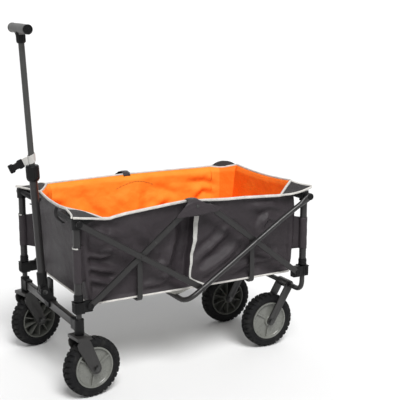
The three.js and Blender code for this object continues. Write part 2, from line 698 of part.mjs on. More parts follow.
add('handle_pin', handlePin(), STEEL, handle);
add('handle_knuckle', handleKnuckle(), PLASTIC, handle);
const outerTube = tubeZ(OUTER_TUBE.r, OUTER_TUBE.bore, OUTER_TUBE.bottom, OUTER_TUBE.top, [0, 0]);
add('handle_outer_tube', outerTube, PAINTED, handle);
add('handle_collar', handleCollar(), PLASTIC, handle);
add('handle_strap', handleStrap(), WEBBING, handle);
add('handle_buckle', handleBuckle(), PLASTIC, handle);
const innerTube = tubeZ(INNER_TUBE.r, INNER_TUBE.bore, INNER_TUBE.bottom, INNER_TUBE.top, [0, 0]);
add('handle_inner_tube', innerTube, PAINTED, handle);
add('handle_grip', handleGrip(), PLASTIC, handle);

// ---- Basket -------------------------------------------------------------------------------

function roundedRectangle(halfX, halfY, r) {
  const shape = new THREE.Shape();
  shape.absarc(halfX - r, halfY - r, r, 0, Math.PI / 2);
  shape.absarc(-halfX + r, halfY - r, r, Math.PI / 2, Math.PI);
  shape.absarc(-halfX + r, -halfY + r, r, Math.PI, 1.5 * Math.PI);
  shape.absarc(halfX - r, -halfY + r, r, 1.5 * Math.PI, 2 * Math.PI);
  return shape;
}

function basketTub() {
  const { halfX, halfY, bottom, top, wall, corner } = BASKET;
  const slab = (x, y, r, low, high) => new THREE.ExtrudeGeometry(
    roundedRectangle(x, y, r),
    { depth: high - low, bevelEnabled: false, curveSegments: CORNER_STEPS },
  ).translate(0, 0, low);
  return carve(
    [slab(halfX, halfY, corner, bottom, top)],
    [slab(halfX - wall, halfY - wall, corner - wall, bottom + wall, top + PAST)],
  );
}

add('basket', basketTub(), FABRIC);

// The origin is on the floor, at the middle of the whole outline.
const outline = new THREE.Box3().setFromObject(wagon);
wagon.position.y = -(outline.min.y + outline.max.y) / 2;

export default wagon;
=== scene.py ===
import json
import math

import bmesh
import bpy
import numpy as np
from mathutils import Matrix, Vector, noise


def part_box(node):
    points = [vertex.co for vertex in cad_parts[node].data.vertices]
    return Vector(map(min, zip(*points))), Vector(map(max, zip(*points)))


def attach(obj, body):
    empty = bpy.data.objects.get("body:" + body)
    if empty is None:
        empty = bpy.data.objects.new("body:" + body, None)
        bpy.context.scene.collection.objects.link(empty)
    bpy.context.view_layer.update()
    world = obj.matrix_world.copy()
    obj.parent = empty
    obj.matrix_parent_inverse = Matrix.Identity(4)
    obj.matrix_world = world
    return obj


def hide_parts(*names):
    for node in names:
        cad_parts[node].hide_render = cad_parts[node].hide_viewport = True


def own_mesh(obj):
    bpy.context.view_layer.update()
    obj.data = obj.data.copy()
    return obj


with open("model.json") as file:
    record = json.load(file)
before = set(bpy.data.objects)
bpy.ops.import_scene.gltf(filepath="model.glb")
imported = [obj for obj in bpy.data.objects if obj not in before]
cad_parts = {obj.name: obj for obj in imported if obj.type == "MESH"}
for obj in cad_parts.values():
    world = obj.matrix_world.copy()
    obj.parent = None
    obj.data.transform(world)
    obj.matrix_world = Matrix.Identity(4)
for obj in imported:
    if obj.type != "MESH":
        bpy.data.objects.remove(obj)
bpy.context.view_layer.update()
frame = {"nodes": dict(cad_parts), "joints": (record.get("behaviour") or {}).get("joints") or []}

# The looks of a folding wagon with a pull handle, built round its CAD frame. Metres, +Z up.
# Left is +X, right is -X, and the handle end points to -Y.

# ---- Places taken from the frame -----------------------------------------------------------

SIDES = (("left", 1), ("right", -1))
ENDS = (("front", -1), ("rear", 1))
CORNERS = [(end, sign, hand, side) for end, sign in ENDS for hand, side in SIDES]


def centre(node):
    low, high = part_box(node)
    return (low + high) / 2


PIN = {joint["name"]: Vector(joint["pos_m"]) for joint in frame["joints"] if "pos_m" in joint}
POST_X = centre("front_post_left").x
POST_Y = {"front": centre("front_post_left").y, "rear": centre("rear_post_left").y}
MID_Y = (POST_Y["front"] + POST_Y["rear"]) / 2
HALF_BASE = POST_Y["rear"] - MID_Y
TOP_PIN_Z = PIN["rear_top_pin"].z
BASE_PIN = PIN["base_pin"]
LOW_PIN_Z = PIN["fold"].z
LOW_PIN_Y = PIN["fold"].y - MID_Y
CROSS_PIN_Y = PIN["rear_cross_pin"].y - MID_Y
CROSS_PIN_Z = PIN["rear_cross_pin"].z
HUB_PIN_Y = PIN["top_hub_pin"].y - MID_Y
HUB_PIN_Z = PIN["top_hub_pin"].z
REAR_WHEEL = centre("rear_tyre_left")
WHEEL_R = REAR_WHEEL.z
HANDLE_PIVOT = PIN["handle_swing"]

# ---- Sizes ---------------------------------------------------------------------------------

LEG_R = 0.008
POST_R = 0.011
POST_BORE = 0.0098
BAR_WIDTH = 0.018
BAR_THICK = 0.008
BAR_EDGE = 0.0034                 # rounding of a bar's long edges
BAR_TAIL = 0.012                  # how far the front top bar runs past its lower pin
INNER_X = 0.242                   # layers of the side bars, from the basket outward
MIDDLE_X = 0.252
OUTER_X = 0.265
HANGER_X = 0.234
STUD_END_X = HANGER_X - 0.0028    # inner face of the heads that hold a hanger
RIVET_R = 0.007
STUD_R = 0.004
STUD_HEAD = 0.002                 # thickness of a stud's head
CASTER_TRAIL = 0.0375
CASTER_PARKED = {"left": 8, "right": 15}      # degrees each caster is turned at rest
CROWN_TOP = 0.192                 # top of the caster forks
HANDLE_LEAN = 2.95                # degrees, at rest
BASKET_X = 0.222                  # half width and half length of the basket at its bottom
BASKET_Y = 0.345
BASKET_BOTTOM = 0.272

# ---- Camera --------------------------------------------------------------------------------

CAMERA_AIM = Vector((0.147, MID_Y + 0.0564, 0.534))
CAMERA_AZIMUTH = math.radians(61.12)
CAMERA_ELEVATION = math.radians(12.52)
CAMERA_DISTANCE = 3.0
CAMERA_LENS = 88.2                # millimetres, on a 36 mm sensor
CAMERA_SHIFT = -0.0099


def direction(azimuth, elevation):
    """Unit vector toward an azimuth from the front, turning to the left, and an elevation."""
    level = math.cos(elevation)
    return Vector((math.sin(azimuth) * level, -math.cos(azimuth) * level, math.sin(elevation)))


def make_camera():
    data = bpy.data.cameras.new("camera")
    data.lens = CAMERA_LENS
    data.sensor_width = 36
    data.shift_y = CAMERA_SHIFT
    camera = bpy.data.objects.new("camera", data)
    bpy.context.scene.collection.objects.link(camera)
    back = direction(CAMERA_AZIMUTH, CAMERA_ELEVATION)
    camera.location = CAMERA_AIM + back * CAMERA_DISTANCE
    camera.rotation_mode = "QUATERNION"
    camera.rotation_quaternion = (-back).to_track_quat("-Z", "Y")
    bpy.context.scene.camera = camera


make_camera()

# ---- Node materials ------------------------------------------------------------------------


def linear(red, green, blue):
    """A linear colour from a screen colour of 0 to 255."""
    share = [value / 255 for value in (red, green, blue)]
    return (*[s / 12.92 if s < 0.04 else ((s + 0.055) / 1.055) ** 2.4 for s in share], 1.0)


class Look:
    """A material of nodes round one Principled shader."""

    def __init__(self, name, **sockets):
        self.material = bpy.data.materials.new(name)
        self.material.use_nodes = True
        self.tree = self.material.node_tree
        self.shader = self.tree.nodes["Principled BSDF"]
        for socket, value in sockets.items():
            self.shader.inputs[socket.replace("_", " ")].default_value = value

    def node(self, kind, settings=None, **inputs):
        made = self.tree.nodes.new("ShaderNode" + kind)
        for name, value in (settings or {}).items():
            setattr(made, name, value)
        for name, value in inputs.items():
            self.feed(made.inputs[name.replace("_", " ")], value)
        return made.outputs[0]

    def feed(self, socket, value):
        if isinstance(value, bpy.types.NodeSocket):
            self.tree.links.new(value, socket)
        else:
            socket.default_value = value

    def math(self, operation, *values):
        made = self.tree.nodes.new("ShaderNodeMath")
        made.operation = operation
        for socket, value in zip(made.inputs, values):
            self.feed(socket, value)
        return made.outputs[0]

    def mix(self, factor, first, second):
        made = self.tree.nodes.new("ShaderNodeMix")
        made.data_type = "RGBA"
        for index, value in ((0, factor), (6, first), (7, second)):
            self.feed(made.inputs[index], value)
        return made.outputs[2]

    def spread(self, value, low, high, to_low=0.0, to_high=1.0):
        made = self.tree.nodes.new("ShaderNodeMapRange")
        for index, number in enumerate((value, low, high, to_low, to_high)):
            self.feed(made.inputs[index], number)
        return made.outputs[0]

    def noise(self, at, scale, detail=3.0, roughness=0.5, distortion=0.0):
        return self.node("TexNoise", Vector=at, Scale=scale, Detail=detail,
                         Roughness=roughness, Distortion=distortion)

    def place(self):
        return self.tree.nodes.new("ShaderNodeTexCoord").outputs["Object"]

    def cloth_place(self):
        made = self.tree.nodes.new("ShaderNodeAttribute")
        made.attribute_name = "cloth"
        return made.outputs["Vector"]

    def bump(self, height, strength, distance, normal=None):
        made = self.tree.nodes.new("ShaderNodeBump")
        self.feed(made.inputs["Height"], height)
        made.inputs["Strength"].default_value = strength
        made.inputs["Distance"].default_value = distance
        if normal is not None:
            self.feed(made.inputs["Normal"], normal)
        return made.outputs[0]

    def wear(self, colour=None, roughness=None, normal=None):
        for name, value in (("Base Color", colour), ("Roughness", roughness), ("Normal", normal)):
            if value is not None:
                self.feed(self.shader.inputs[name], value)
        return self.material


def powder_coat(name, dark, light):
    look = Look(name, Specular_IOR_Level=0.36, Coat_Weight=0.08, Coat_Roughness=0.16)
    at = look.place()
    broad = look.noise(at, 11.0, 2.0)
    scuffs = look.spread(look.noise(at, 85.0, 6.0, 0.65, 0.6), 0.62, 0.72)
    paint = look.mix(broad, linear(*dark), linear(*light))
    colour = look.mix(look.math("MULTIPLY", scuffs, 0.3), paint, linear(104, 104, 100))
    roughness = look.spread(look.noise(at, 240.0, 4.0), 0.3, 0.7, 0.3, 0.46)
    peel = look.bump(look.noise(at, 900.0, 2.0), 0.12, 0.0004)
    return look.wear(colour, roughness, peel)


def moulded_plastic(name, dark, light, grain=1300.0, rough=(0.4, 0.56), shine=0.18,
                    relief=0.18):
    look = Look(name, Specular_IOR_Level=shine)
    at = look.place()
    colour = look.mix(look.noise(at, 26.0, 4.0, 0.6), linear(*dark), linear(*light))
    pebbles = look.node("TexVoronoi", {"feature": "SMOOTH_F1"}, Vector=at, Scale=grain)
    roughness = look.spread(look.noise(at, 60.0, 3.0), 0.3, 0.7, *rough)
    return look.wear(colour, roughness, look.bump(pebbles, relief, 0.0003))


def tyre_rubber():
    look = Look("tyre", Specular_IOR_Level=0.14)
    at = look.place()
    dust = look.spread(look.noise(at, 34.0, 6.0, 0.7), 0.5, 0.78)
    colour = look.mix(look.math("MULTIPLY", dust, 0.5), linear(22, 22, 23), linear(58, 57, 54))
    roughness = look.spread(look.noise(at, 150.0, 4.0), 0.3, 0.7, 0.62, 0.86)
    return look.wear(colour, roughness, look.bump(look.noise(at, 700.0, 5.0, 0.7), 0.25, 0.0005))


def zinc_steel(name, dark, light):
    look = Look(name, Metallic=1.0)
    at = look.place()
    colour = look.mix(look.noise(at, 120.0, 5.0, 0.7), linear(*dark), linear(*light))
    roughness = look.spread(look.noise(at, 400.0, 3.0), 0.3, 0.7, 0.26, 0.44)
    return look.wear(colour, roughness, look.bump(look.noise(at, 1500.0, 2.0), 0.1, 0.0002))


def woven(name, dark, light, pitch, relief=0.4, rough=(0.72, 0.9), wrinkle=0.3, **sockets):
    """Plain weave: threads pass over and under each other, with slubs, soft wrinkles and painted shade
    between the threads.
    """
    look = Look(name, Sheen_Roughness=0.5, **sockets)
    at = look.cloth_place()
    cycles = 0.314 / pitch
    threads = [
        look.node("TexWave", {"bands_direction": way}, Vector=at, Scale=cycles,
                  Distortion=0.8, Detail=1.0, Detail_Scale=0.6)
        for way in ("X", "Y")
    ]
    checks = look.tree.nodes.new("ShaderNodeTexChecker")
    look.feed(checks.inputs["Vector"], at)
    checks.inputs["Scale"].default_value = 1 / pitch
    weave = look.mix(checks.outputs["Fac"], *threads)
    fade = look.noise(at, 14.0, 4.0, 0.6)
    slub = look.noise(at, 320.0, 2.0)
    shade = look.math("ADD", look.math("MULTIPLY", fade, 0.65), look.math("MULTIPLY", slub, 0.35))
    flat = look.mix(look.spread(shade, 0.3, 0.7), linear(*dark), linear(*light))
    # The colour is darkened where the weave dips between threads: painted shade in the weave's
    # hollows.
    groove = look.spread(weave, 0.0, 0.6, 0.72, 1.0)
    colour = look.node("VectorMath", {"operation": "SCALE"}, Vector=flat, Scale=groove)
    roughness = look.spread(slub, 0.3, 0.7, *rough)
    soft = look.bump(look.noise(at, 17.0, 5.0, 0.62, 0.5), wrinkle, 0.02)
    return look.wear(colour, roughness, look.bump(weave, relief, pitch * 0.35, soft))


def net_cloth():
    """Black net: a darker hole in each cell of a diamond mesh, painted shade where the net is open."""
    look = Look("net", Sheen_Weight=0.08, Specular_IOR_Level=0.15)
    at = look.cloth_place()
    turned = look.node("Mapping", Vector=at, Rotation=(0, 0, math.pi / 4))
    shaded_holes = look.node("TexVoronoi", {"distance": "CHEBYCHEV"}, Vector=turned, Scale=420.0,
                      Randomness=0.0)
    mesh = look.spread(shaded_holes, 0.28, 0.42)
    broad = look.noise(at, 40.0, 3.0)
    yarn = look.mix(broad, linear(58, 55, 56), linear(82, 79, 79))
    # The holes are painted near black: painted shade in place of the openings through the net.
    colour = look.mix(mesh, linear(22, 21, 23), yarn)
    return look.wear(colour, look.spread(broad, 0.3, 0.7, 0.7, 0.9), look.bump(mesh, 0.5, 0.0008))


def ribbed_tape(name, dark, light, pitch=0.0016):
    """Narrow woven tape with ribs across it, as on bindings and straps, with painted shade between the
    ribs.
    """
    look = Look(name, Sheen_Weight=0.1, Sheen_Roughness=0.5, Specular_IOR_Level=0.25)
    at = look.cloth_place()
    ribs = look.node("TexWave", {"bands_direction": "X"}, Vector=at, Scale=0.314 / pitch,
                     Distortion=1.2, Detail=1.0)
    soil = look.noise(at, 46.0, 5.0, 0.65)
    flat = look.mix(look.spread(soil, 0.32, 0.68), linear(*dark), linear(*light))
    # The colour is darkened between the ribs: painted shade in the hollows of the weave.
    groove = look.spread(ribs, 0.0, 0.7, 0.82, 1.0)
    colour = look.node("VectorMath", {"operation": "SCALE"}, Vector=flat, Scale=groove)
    return look.wear(colour, look.spread(soil, 0.3, 0.7, 0.75, 0.92), look.bump(ribs, 0.45, 0.0007))


MATERIALS = {
    "paint": powder_coat("powder_coat", (29, 28, 28), (38, 37, 37)),
    "pale_paint": powder_coat("handle_paint", (50, 50, 49), (62, 62, 61)),
    "dark_paint": powder_coat("fork_paint", (34, 33, 33), (44, 43, 42)),
    "plastic": moulded_plastic("black_plastic", (13, 13, 13), (22, 22, 23)),
    "hub": moulded_plastic("hub_plastic", (93, 94, 89), (112, 113, 108), 900.0, (0.22, 0.34), 0.5,
                           0.03),
    # The back of each hub takes a darker copy of the hub plastic: painted shade for its deep, shaded
    # recess.
    "shaded_hub_back": moulded_plastic("shaded_hub_back", (76, 77, 73), (96, 97, 92), 900.0, (0.3, 0.44)),
    "grip": moulded_plastic("grip_rubber", (92, 92, 92), (114, 114, 113), 700.0, (0.55, 0.75)),
    "tyre": tyre_rubber(),
    "steel": zinc_steel("steel", (150, 150, 148), (196, 196, 192)),
    "dark_steel": zinc_steel("dark_steel", (62, 62, 62), (96, 96, 95)),
    "fabric": woven("fabric", (48, 43, 46), (59, 54, 57), 0.0012, 0.3, (0.36, 0.5), 0.16,
                    Specular_IOR_Level=0.22),
    "liner": woven("liner", (254, 134, 34), (255, 152, 52), 0.001, 0.25, (0.6, 0.8), 0.3,
                   Specular_IOR_Level=0.2),
    # The lining's end walls take a redder, darker copy of the liner: painted shade and bounce light on
    # the same cloth.
    "shaded_liner_end": woven("shaded_liner_end", (254, 114, 20), (255, 132, 34), 0.001, 0.25, (0.6, 0.8), 0.3,
                       Specular_IOR_Level=0.2),
    "underside": woven("underside", (150, 149, 142), (178, 177, 170), 0.0012, Specular_IOR_Level=0.2),
    "net": net_cloth(),
    "tape": ribbed_tape("binding", (190, 187, 182), (218, 215, 210)),
    "webbing": ribbed_tape("webbing", (172, 171, 167), (198, 197, 193), 0.0022),
    "black_tape": ribbed_tape("black_tape", (24, 23, 24), (36, 35, 36), 0.0018),
    "stitch": ribbed_tape("stitching", (120, 52, 10), (150, 70, 18), 0.001),
}

# ---- Shells: each is (points, faces), closed unless it is a cloth grid ----------------------


def grid_faces(rows, columns, wrap_rows=False, wrap_columns=False):
    faces = []
    for i in range(rows if wrap_rows else rows - 1):
        for j in range(columns if wrap_columns else columns - 1):
            a, b = i * columns + j, i * columns + (j + 1) % columns
            c, d = (i + 1) % rows * columns + (j + 1) % columns, (i + 1) % rows * columns + j
            faces.append((a, b, c, d))
    return faces


def rounded_section(power, sides):
    """Unit section between an ellipse (power 2) and a rectangle (a higher power)."""
    angles = (np.arange(sides) + 0.5) * 2 * np.pi / sides
    cos, sin = np.cos(angles), np.sin(angles)
    return np.stack([
        np.sign(cos) * np.abs(cos) ** (2 / power), np.sign(sin) * np.abs(sin) ** (2 / power),
    ], axis=1) / 2


def sweep(path, wide, width, thick, closed=False, power=2.0, sides=16, ends=0.12):
    """A section carried along a path: width lies along the wide direction, thick across it."""
    path = np.array([tuple(p) for p in path], float)
    count = len(path)
    width, thick = (np.broadcast_to(np.array(size, float), count).copy() for size in (width, thick))
    if closed:
        ahead = np.roll(path, -1, 0) - np.roll(path, 1, 0)
    else:
        ahead = np.gradient(path, axis=0)
        step = ahead[0] / np.linalg.norm(ahead[0]), ahead[-1] / np.linalg.norm(ahead[-1])
        lip = ends * min(width.min(), thick.min())
        path = np.vstack([path[:1], path[:1] + step[0] * lip, path[1:-1],
                          path[-1:] - step[1] * lip, path[-1:]])
        ahead = np.vstack([ahead[:1], ahead[:1], ahead[1:-1], ahead[-1:], ahead[-1:]])
        inset = 1 - 2 * ends
        width = np.concatenate([[width[0] * inset], [width[0]], width[1:-1],
                                [width[-1]], [width[-1] * inset]])
        thick = np.concatenate([[thick[0] * inset], [thick[0]], thick[1:-1],
                                [thick[-1]], [thick[-1] * inset]])
    ahead /= np.linalg.norm(ahead, axis=1)[:, None]
    wide = np.broadcast_to(np.array(wide, float), ahead.shape)
    across = np.cross(ahead, wide)
    across /= np.linalg.norm(across, axis=1)[:, None]
    along_width = np.cross(across, ahead)
    section = rounded_section(power, sides)
    points = (
        path[:, None]
        + along_width[:, None] * (section[None, :, :1] * width[:, None, None])
        + across[:, None] * (section[None, :, 1:] * thick[:, None, None])
    ).reshape(-1, 3)
    rings = len(path)
    faces = grid_faces(rings, sides, wrap_rows=closed, wrap_columns=True)
    if not closed:
        faces.append(tuple(reversed(range(sides))))
        faces.append(tuple((rings - 1) * sides + i for i in range(sides)))
    return points, faces


def tube(path, radius, wide=(1, 0, 0), closed=False, sides=20):
    return sweep(path, wide, 2 * radius, 2 * radius, closed, 2.0, sides)


AXES = {
    "x": ((0, 1, 0), (0, 0, 1), (1, 0, 0)),
    "y": ((0, 0, 1), (1, 0, 0), (0, 1, 0)),
    "z": ((1, 0, 0), (0, 1, 0), (0, 0, 1)),
}


def lathe(profile, at=(0, 0, 0), axis="z", sides=32, flip=1):
    """A profile of (radius, height) turned about an axis. It closes on the axis or on itself."""
    first, second, up = (np.array(v, float) for v in AXES[axis])
    points, rings = [], []
    for radius, height in profile:
        if radius < 1e-9:
            rings.append([len(points)])
            points.append(up * height * flip)
            continue
        rings.append(list(range(len(points), len(points) + sides)))
        for i in range(sides):
            angle = 2 * math.pi * i / sides
            flat = first * math.cos(angle) + second * math.sin(angle)
            points.append(flat * radius + up * height * flip)
    faces = []
    loops = list(zip(rings, rings[1:]))
    if len(rings[0]) > 1 and len(rings[-1]) > 1:
        loops.append((rings[-1], rings[0]))
    for low, high in loops:
        for i in range(sides):
            j = (i + 1) % sides
            face = [low[i % len(low)], low[j % len(low)], high[j % len(high)], high[i % len(high)]]
            unique = list(dict.fromkeys(face))
            if len(unique) > 2:
                faces.append(tuple(unique))
    return np.array(points) + np.array(at, float), faces


def rounded_rod(radius, low, high, at, axis, edge=0.0012, sides=28):
    profile = [(0, low), (radius - edge, low), (radius - 0.3 * edge, low + 0.3 * edge),
               (radius, low + edge), (radius, high - edge),
               (radius - 0.3 * edge, high - 0.3 * edge), (radius - edge, high), (0, high)]
    return lathe(profile, at, axis, sides)


def softened(bm, edge, steps=2):
    """Rounds the sharp edges of a solid and returns it as a shell."""
    sharp = [e for e in bm.edges if len(e.link_faces) == 2 and e.calc_face_angle() > 0.6]
    bmesh.ops.bevel(bm, geom=sharp, offset=edge, segments=steps, profile=0.6, affect="EDGES",
                    clamp_overlap=True)
    bm.verts.index_update()
    points = np.array([tuple(v.co) for v in bm.verts])
    faces = [tuple(v.index for v in f.verts) for f in bm.faces]
    bm.free()
    return points, faces


def prism(outline, low, high, edge=0.001, axis="x"):
    """An outline drawn across an axis, given thickness along it, with rounded edges."""
    first, second, up = (np.array(v, float) for v in AXES[axis])
    bm = bmesh.new()
    loops = []
    for height in (low, high):
        loops.append([bm.verts.new(tuple(first * u + second * v + up * height)) for u, v in outline])
    bm.faces.new(list(reversed(loops[0])))
    bm.faces.new(loops[1])
    for i in range(len(outline)):
        j = (i + 1) % len(outline)
        bm.faces.new((loops[0][i], loops[0][j], loops[1][j], loops[1][i]))
    bmesh.ops.recalc_face_normals(bm, faces=bm.faces)
    return softened(bm, edge)


def block(low, high, edge=0.001):
    outline = [(low[1], low[2]), (high[1], low[2]), (high[1], high[2]), (low[1], high[2])]
    return prism(outline, low[0], high[0], edge)


def link_outline(start, end, start_r, end_r, steps=10):
    """Outline round two circles, with straight sides between them."""
    heading = math.atan2(end[1] - start[1], end[0] - start[0])
    outline = []
    for (u, v), radius, turn in ((start, start_r, math.pi / 2), (end, end_r, -math.pi / 2)):
        for i in range(steps + 1):
            angle = heading + turn + math.pi * i / steps
            outline.append((u + radius * math.cos(angle), v + radius * math.sin(angle)))
    return outline


def moved(shell, matrix):
    points, faces = shell
    turn, shift = np.array(matrix.to_3x3()), np.array(matrix.translation)
    return points @ turn.T + shift, faces


def bend(corners, radius, steps=8):
    """Corner points with each inner corner rounded."""
    corners = [Vector(c) for c in corners]
    path = [corners[0]]
    for before, at, after in zip(corners, corners[1:], corners[2:]):
        back, ahead = (before - at).normalized(), (after - at).normalized()
        reach = radius / math.tan(back.angle(ahead) / 2)
        start, end = at + back * reach, at + ahead * reach
        for i in range(steps + 1):
            t = i / steps
            path.append(start * (1 - t) ** 2 + at * (2 * t * (1 - t)) + end * t ** 2)
    path.append(corners[-1])
    return path


def line(start, end, count):
    start, end = Vector(start), Vector(end)
    return [start.lerp(end, i / (count - 1)) for i in range(count)]


# ---- Pieces --------------------------------------------------------------------------------


def new_object(name, points, faces, look):
    mesh = bpy.data.meshes.new(name)
    mesh.from_pydata([tuple(p) for p in points], [], faces)
    mesh.validate()
    mesh.materials.append(MATERIALS[look])
    obj = bpy.data.objects.new(name, mesh)
    bpy.context.scene.collection.objects.link(obj)
    return obj


def joined(shells):
    points, faces, start = [], [], 0
    for shell_points, shell_faces in shells:
        points.append(shell_points)
        faces += [tuple(i + start for i in face) for face in shell_faces]
        start += len(shell_points)
    return np.vstack(points), faces


def fit(obj, body, sharp=None):
    """Shades a new piece and puts it on its body."""
    obj.data.shade_smooth()
    if sharp is not None:
        obj.data.set_sharp_from_angle(angle=math.radians(sharp))
    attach(obj, body)


def piece(name, shells, look, body, replaces=(), sharp=40, cloth_along=None):
    """A hard piece: its shells in one mesh, smooth but for its sharp edges."""
    points, faces = joined(shells)
    obj = new_object(name, points, faces, look)
    bm = bmesh.new()
    bm.from_mesh(obj.data)
    bmesh.ops.recalc_face_normals(bm, faces=bm.faces)
    bm.to_mesh(obj.data)
    bm.free()
    fit(obj, body, sharp)
    obj.modifiers.new("even_shading", "WEIGHTED_NORMAL").keep_sharp = True
    if cloth_along is not None:
        along = points @ np.array(cloth_along, float)
        rest = points @ np.roll(np.array(cloth_along, float), 1)
        store_cloth(obj, np.stack([along, rest, rest * 0], axis=1))
    if replaces:
        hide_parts(*replaces)
    return obj


def store_cloth(obj, flat):
    attribute = obj.data.attributes.new("cloth", "FLOAT_VECTOR", "POINT")
    attribute.data.foreach_set("vector", flat.astype(np.float32).ravel())


def carry_over(node, look):
    """A CAD node that stays, with its facets smoothed, its edges rounded and its material set."""
    obj = frame["nodes"][node]
    obj.data.materials.clear()
    obj.data.materials.append(MATERIALS[look])
    obj.data.shade_smooth()
    weld = obj.modifiers.new("weld", "WELD")
    weld.merge_threshold = 1e-5
    flat = obj.modifiers.new("flat", "DECIMATE")
    flat.decimate_type = "DISSOLVE"
    flat.angle_limit = math.radians(1)
    edge = obj.modifiers.new("edge", "BEVEL")
    edge.width = 0.0011
    edge.segments = 2
    edge.limit_method = "ANGLE"
    edge.angle_limit = math.radians(32)
    edge.harden_normals = True


def at(side, x, y, z):
    """A point on one side of the wagon, with y measured from its middle."""
    return Vector((side * x, MID_Y + y, z))


def span(side, inner, outer):
    """Low and high x of something that runs between two distances out on one side."""
    return sorted((side * inner, side * outer))


def rivet(x, y, z, face, side, radius=RIVET_R, rise=0.002):
    """A low domed head on a face across x."""
    profile = [(radius * 0.98, -0.001), (radius, 0), (radius * 0.94, rise * 0.55),
               (radius * 0.72, rise * 0.9), (radius * 0.4, rise), (0, rise)]
    return lathe([(0, -0.001), *profile], (side * (x + face), MID_Y + y, z), "x", 24, side)


def stud(outer, inner, y, z, side):
    """A pin that runs inward from a bar to a round head."""
    place = (0, MID_Y + y, z)
    return [rounded_rod(STUD_R, *span(side, outer, inner), place, "x", 0.0005),
            rounded_rod(RIVET_R, *span(side, inner, inner - STUD_HEAD), place, "x", 0.0008)]


def end_cap(x, y, z, face, side):
    """A moulded cap with a dimple, over the pin at the end of a bar."""
    profile = [(0, -0.0012), (0.0090, -0.0012), (0.0094, 0.0004), (0.0090, 0.0018),
               (0.0072, 0.0028), (0.0052, 0.0027), (0.0046, 0.0015), (0, 0.0013)]
    return lathe(profile, (side * (x + face), MID_Y + y, z), "x", 28, side)


# ---- Posts, legs and brackets --------------------------------------------------------------


def ring_profile(bore, radius, low, high, edge=0.0008):
    return [(bore, low), (radius - edge, low), (radius, low + edge),
            (radius, high - edge), (radius - edge, high), (bore, high)]


def collar_profile(low, high):
    """A push-fit collar: a flange at its foot, a groove, and a tapered lip."""
    return [(POST_BORE, low), (0.0128, low), (0.0135, low + 0.0007), (0.0135, low + 0.005),
            (0.0125, low + 0.0058), (0.0125, low + 0.0075), (0.0133, low + 0.0083),
            (0.0133, high - 0.004), (0.0122, high), (POST_BORE, high)]


def build_posts():
    """Each post is a tube that its leg slides in, with a collar at its foot."""
    for end, _, hand, side in CORNERS:
        place = (side * POST_X, POST_Y[end], 0)
        for name, look in (("post", "paint"), ("collar", "plastic")):
            node = f"{end}_{name}_{hand}"
            low, high = (limit.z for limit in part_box(node))
            if name == "post":
                profile = ring_profile(POST_BORE, POST_R, low, high)
            else:
                profile = collar_profile(low, high)
            shell = lathe(profile, place, "z", 36)
            piece(f"{name}_{end}_{hand}", [shell], look, f"{end}_uppers", [node])


def build_legs():
    low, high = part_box("rear_leg_frame")
    top, cross = high.z, low.z + LEG_R
    corners = [at(1, POST_X, HALF_BASE, top), at(1, POST_X, HALF_BASE, cross),
               at(-1, POST_X, HALF_BASE, cross), at(-1, POST_X, HALF_BASE, top)]
    frame_tube = tube(bend(corners, 0.036, 12), LEG_R, (0, 1, 0), sides=28)
    piece("leg_frame", [frame_tube], "paint", "rear_frame", ["rear_leg_frame"])
    for hand, side in SIDES:
        low, high = (limit.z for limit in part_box(f"front_leg_{hand}"))
        rod = rounded_rod(LEG_R, low, high, at(side, POST_X, -HALF_BASE, 0), "z", 0.0015)
        piece(f"leg_front_{hand}", [rod], "paint", "front_frame", [f"front_leg_{hand}"])


RIB = 0.0030
RIB_PITCH = 0.0063
RIB_INSET = 0.004                 # ribs stop short of a bracket's top and bottom


def lower_bracket(end, sign, side, low, high):
    """A block clamped round a leg, a lug toward the low pin, ribs on two faces and a rim."""
    outer = (INNER_X if end == "front" else MIDDLE_X) - BAR_THICK / 2 - 0.0003

    def box_at(x, y, z, edge):
        xs = span(side, *x)
        ys = sorted(MID_Y + sign * v for v in y)
        return block((xs[0], ys[0], z[0]), (xs[1], ys[1], z[1]), edge)

    shells = [
        box_at((0.2175, 0.2465), (0.3685, 0.3980), (low, high), 0.0030),
        box_at((0.2262, outer), (0.3405, 0.3760), (low, high), 0.0030),
    ]
    ribbed = (low + RIB_INSET, high - RIB_INSET)
    for i in range(4):
        y = 0.3725 + i * RIB_PITCH
        shells.append(box_at((0.2440, 0.2480), (y, y + RIB), ribbed, 0.0006))
    for i in range(4):
        x = 0.2215 + i * RIB_PITCH
        shells.append(box_at((x, x + RIB), (0.3960, 0.3995), ribbed, 0.0006))
    shells.append(box_at((0.2166, 0.2474), (0.3676, 0.3989), (high - 0.0035, high), 0.0012))
    place = (0, MID_Y + LOW_PIN_Y * sign, LOW_PIN_Z)
    shells.append(rounded_rod(STUD_R, *span(side, 0.232, outer + 0.008), place, "x", 0.0005))
    return shells


def build_lower_brackets():
    for end, sign, hand, side in CORNERS:
        node = f"{end}_lower_bracket_{hand}"
        low, high = (limit.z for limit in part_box(node))
        shells = lower_bracket(end, sign, side, low, high)
        piece(f"bracket_low_{end}_{hand}", shells, "plastic", f"{end}_frame", [node])


# ---- Folding bars --------------------------------------------------------------------------


def flat_oval_bar(start, end, x, side):
    outline = link_outline(start, end, BAR_WIDTH / 2, BAR_WIDTH / 2, 12)
    outline = [(MID_Y + u, v) for u, v in outline]
    return prism(outline, *span(side, x - BAR_THICK / 2, x + BAR_THICK / 2), BAR_EDGE)


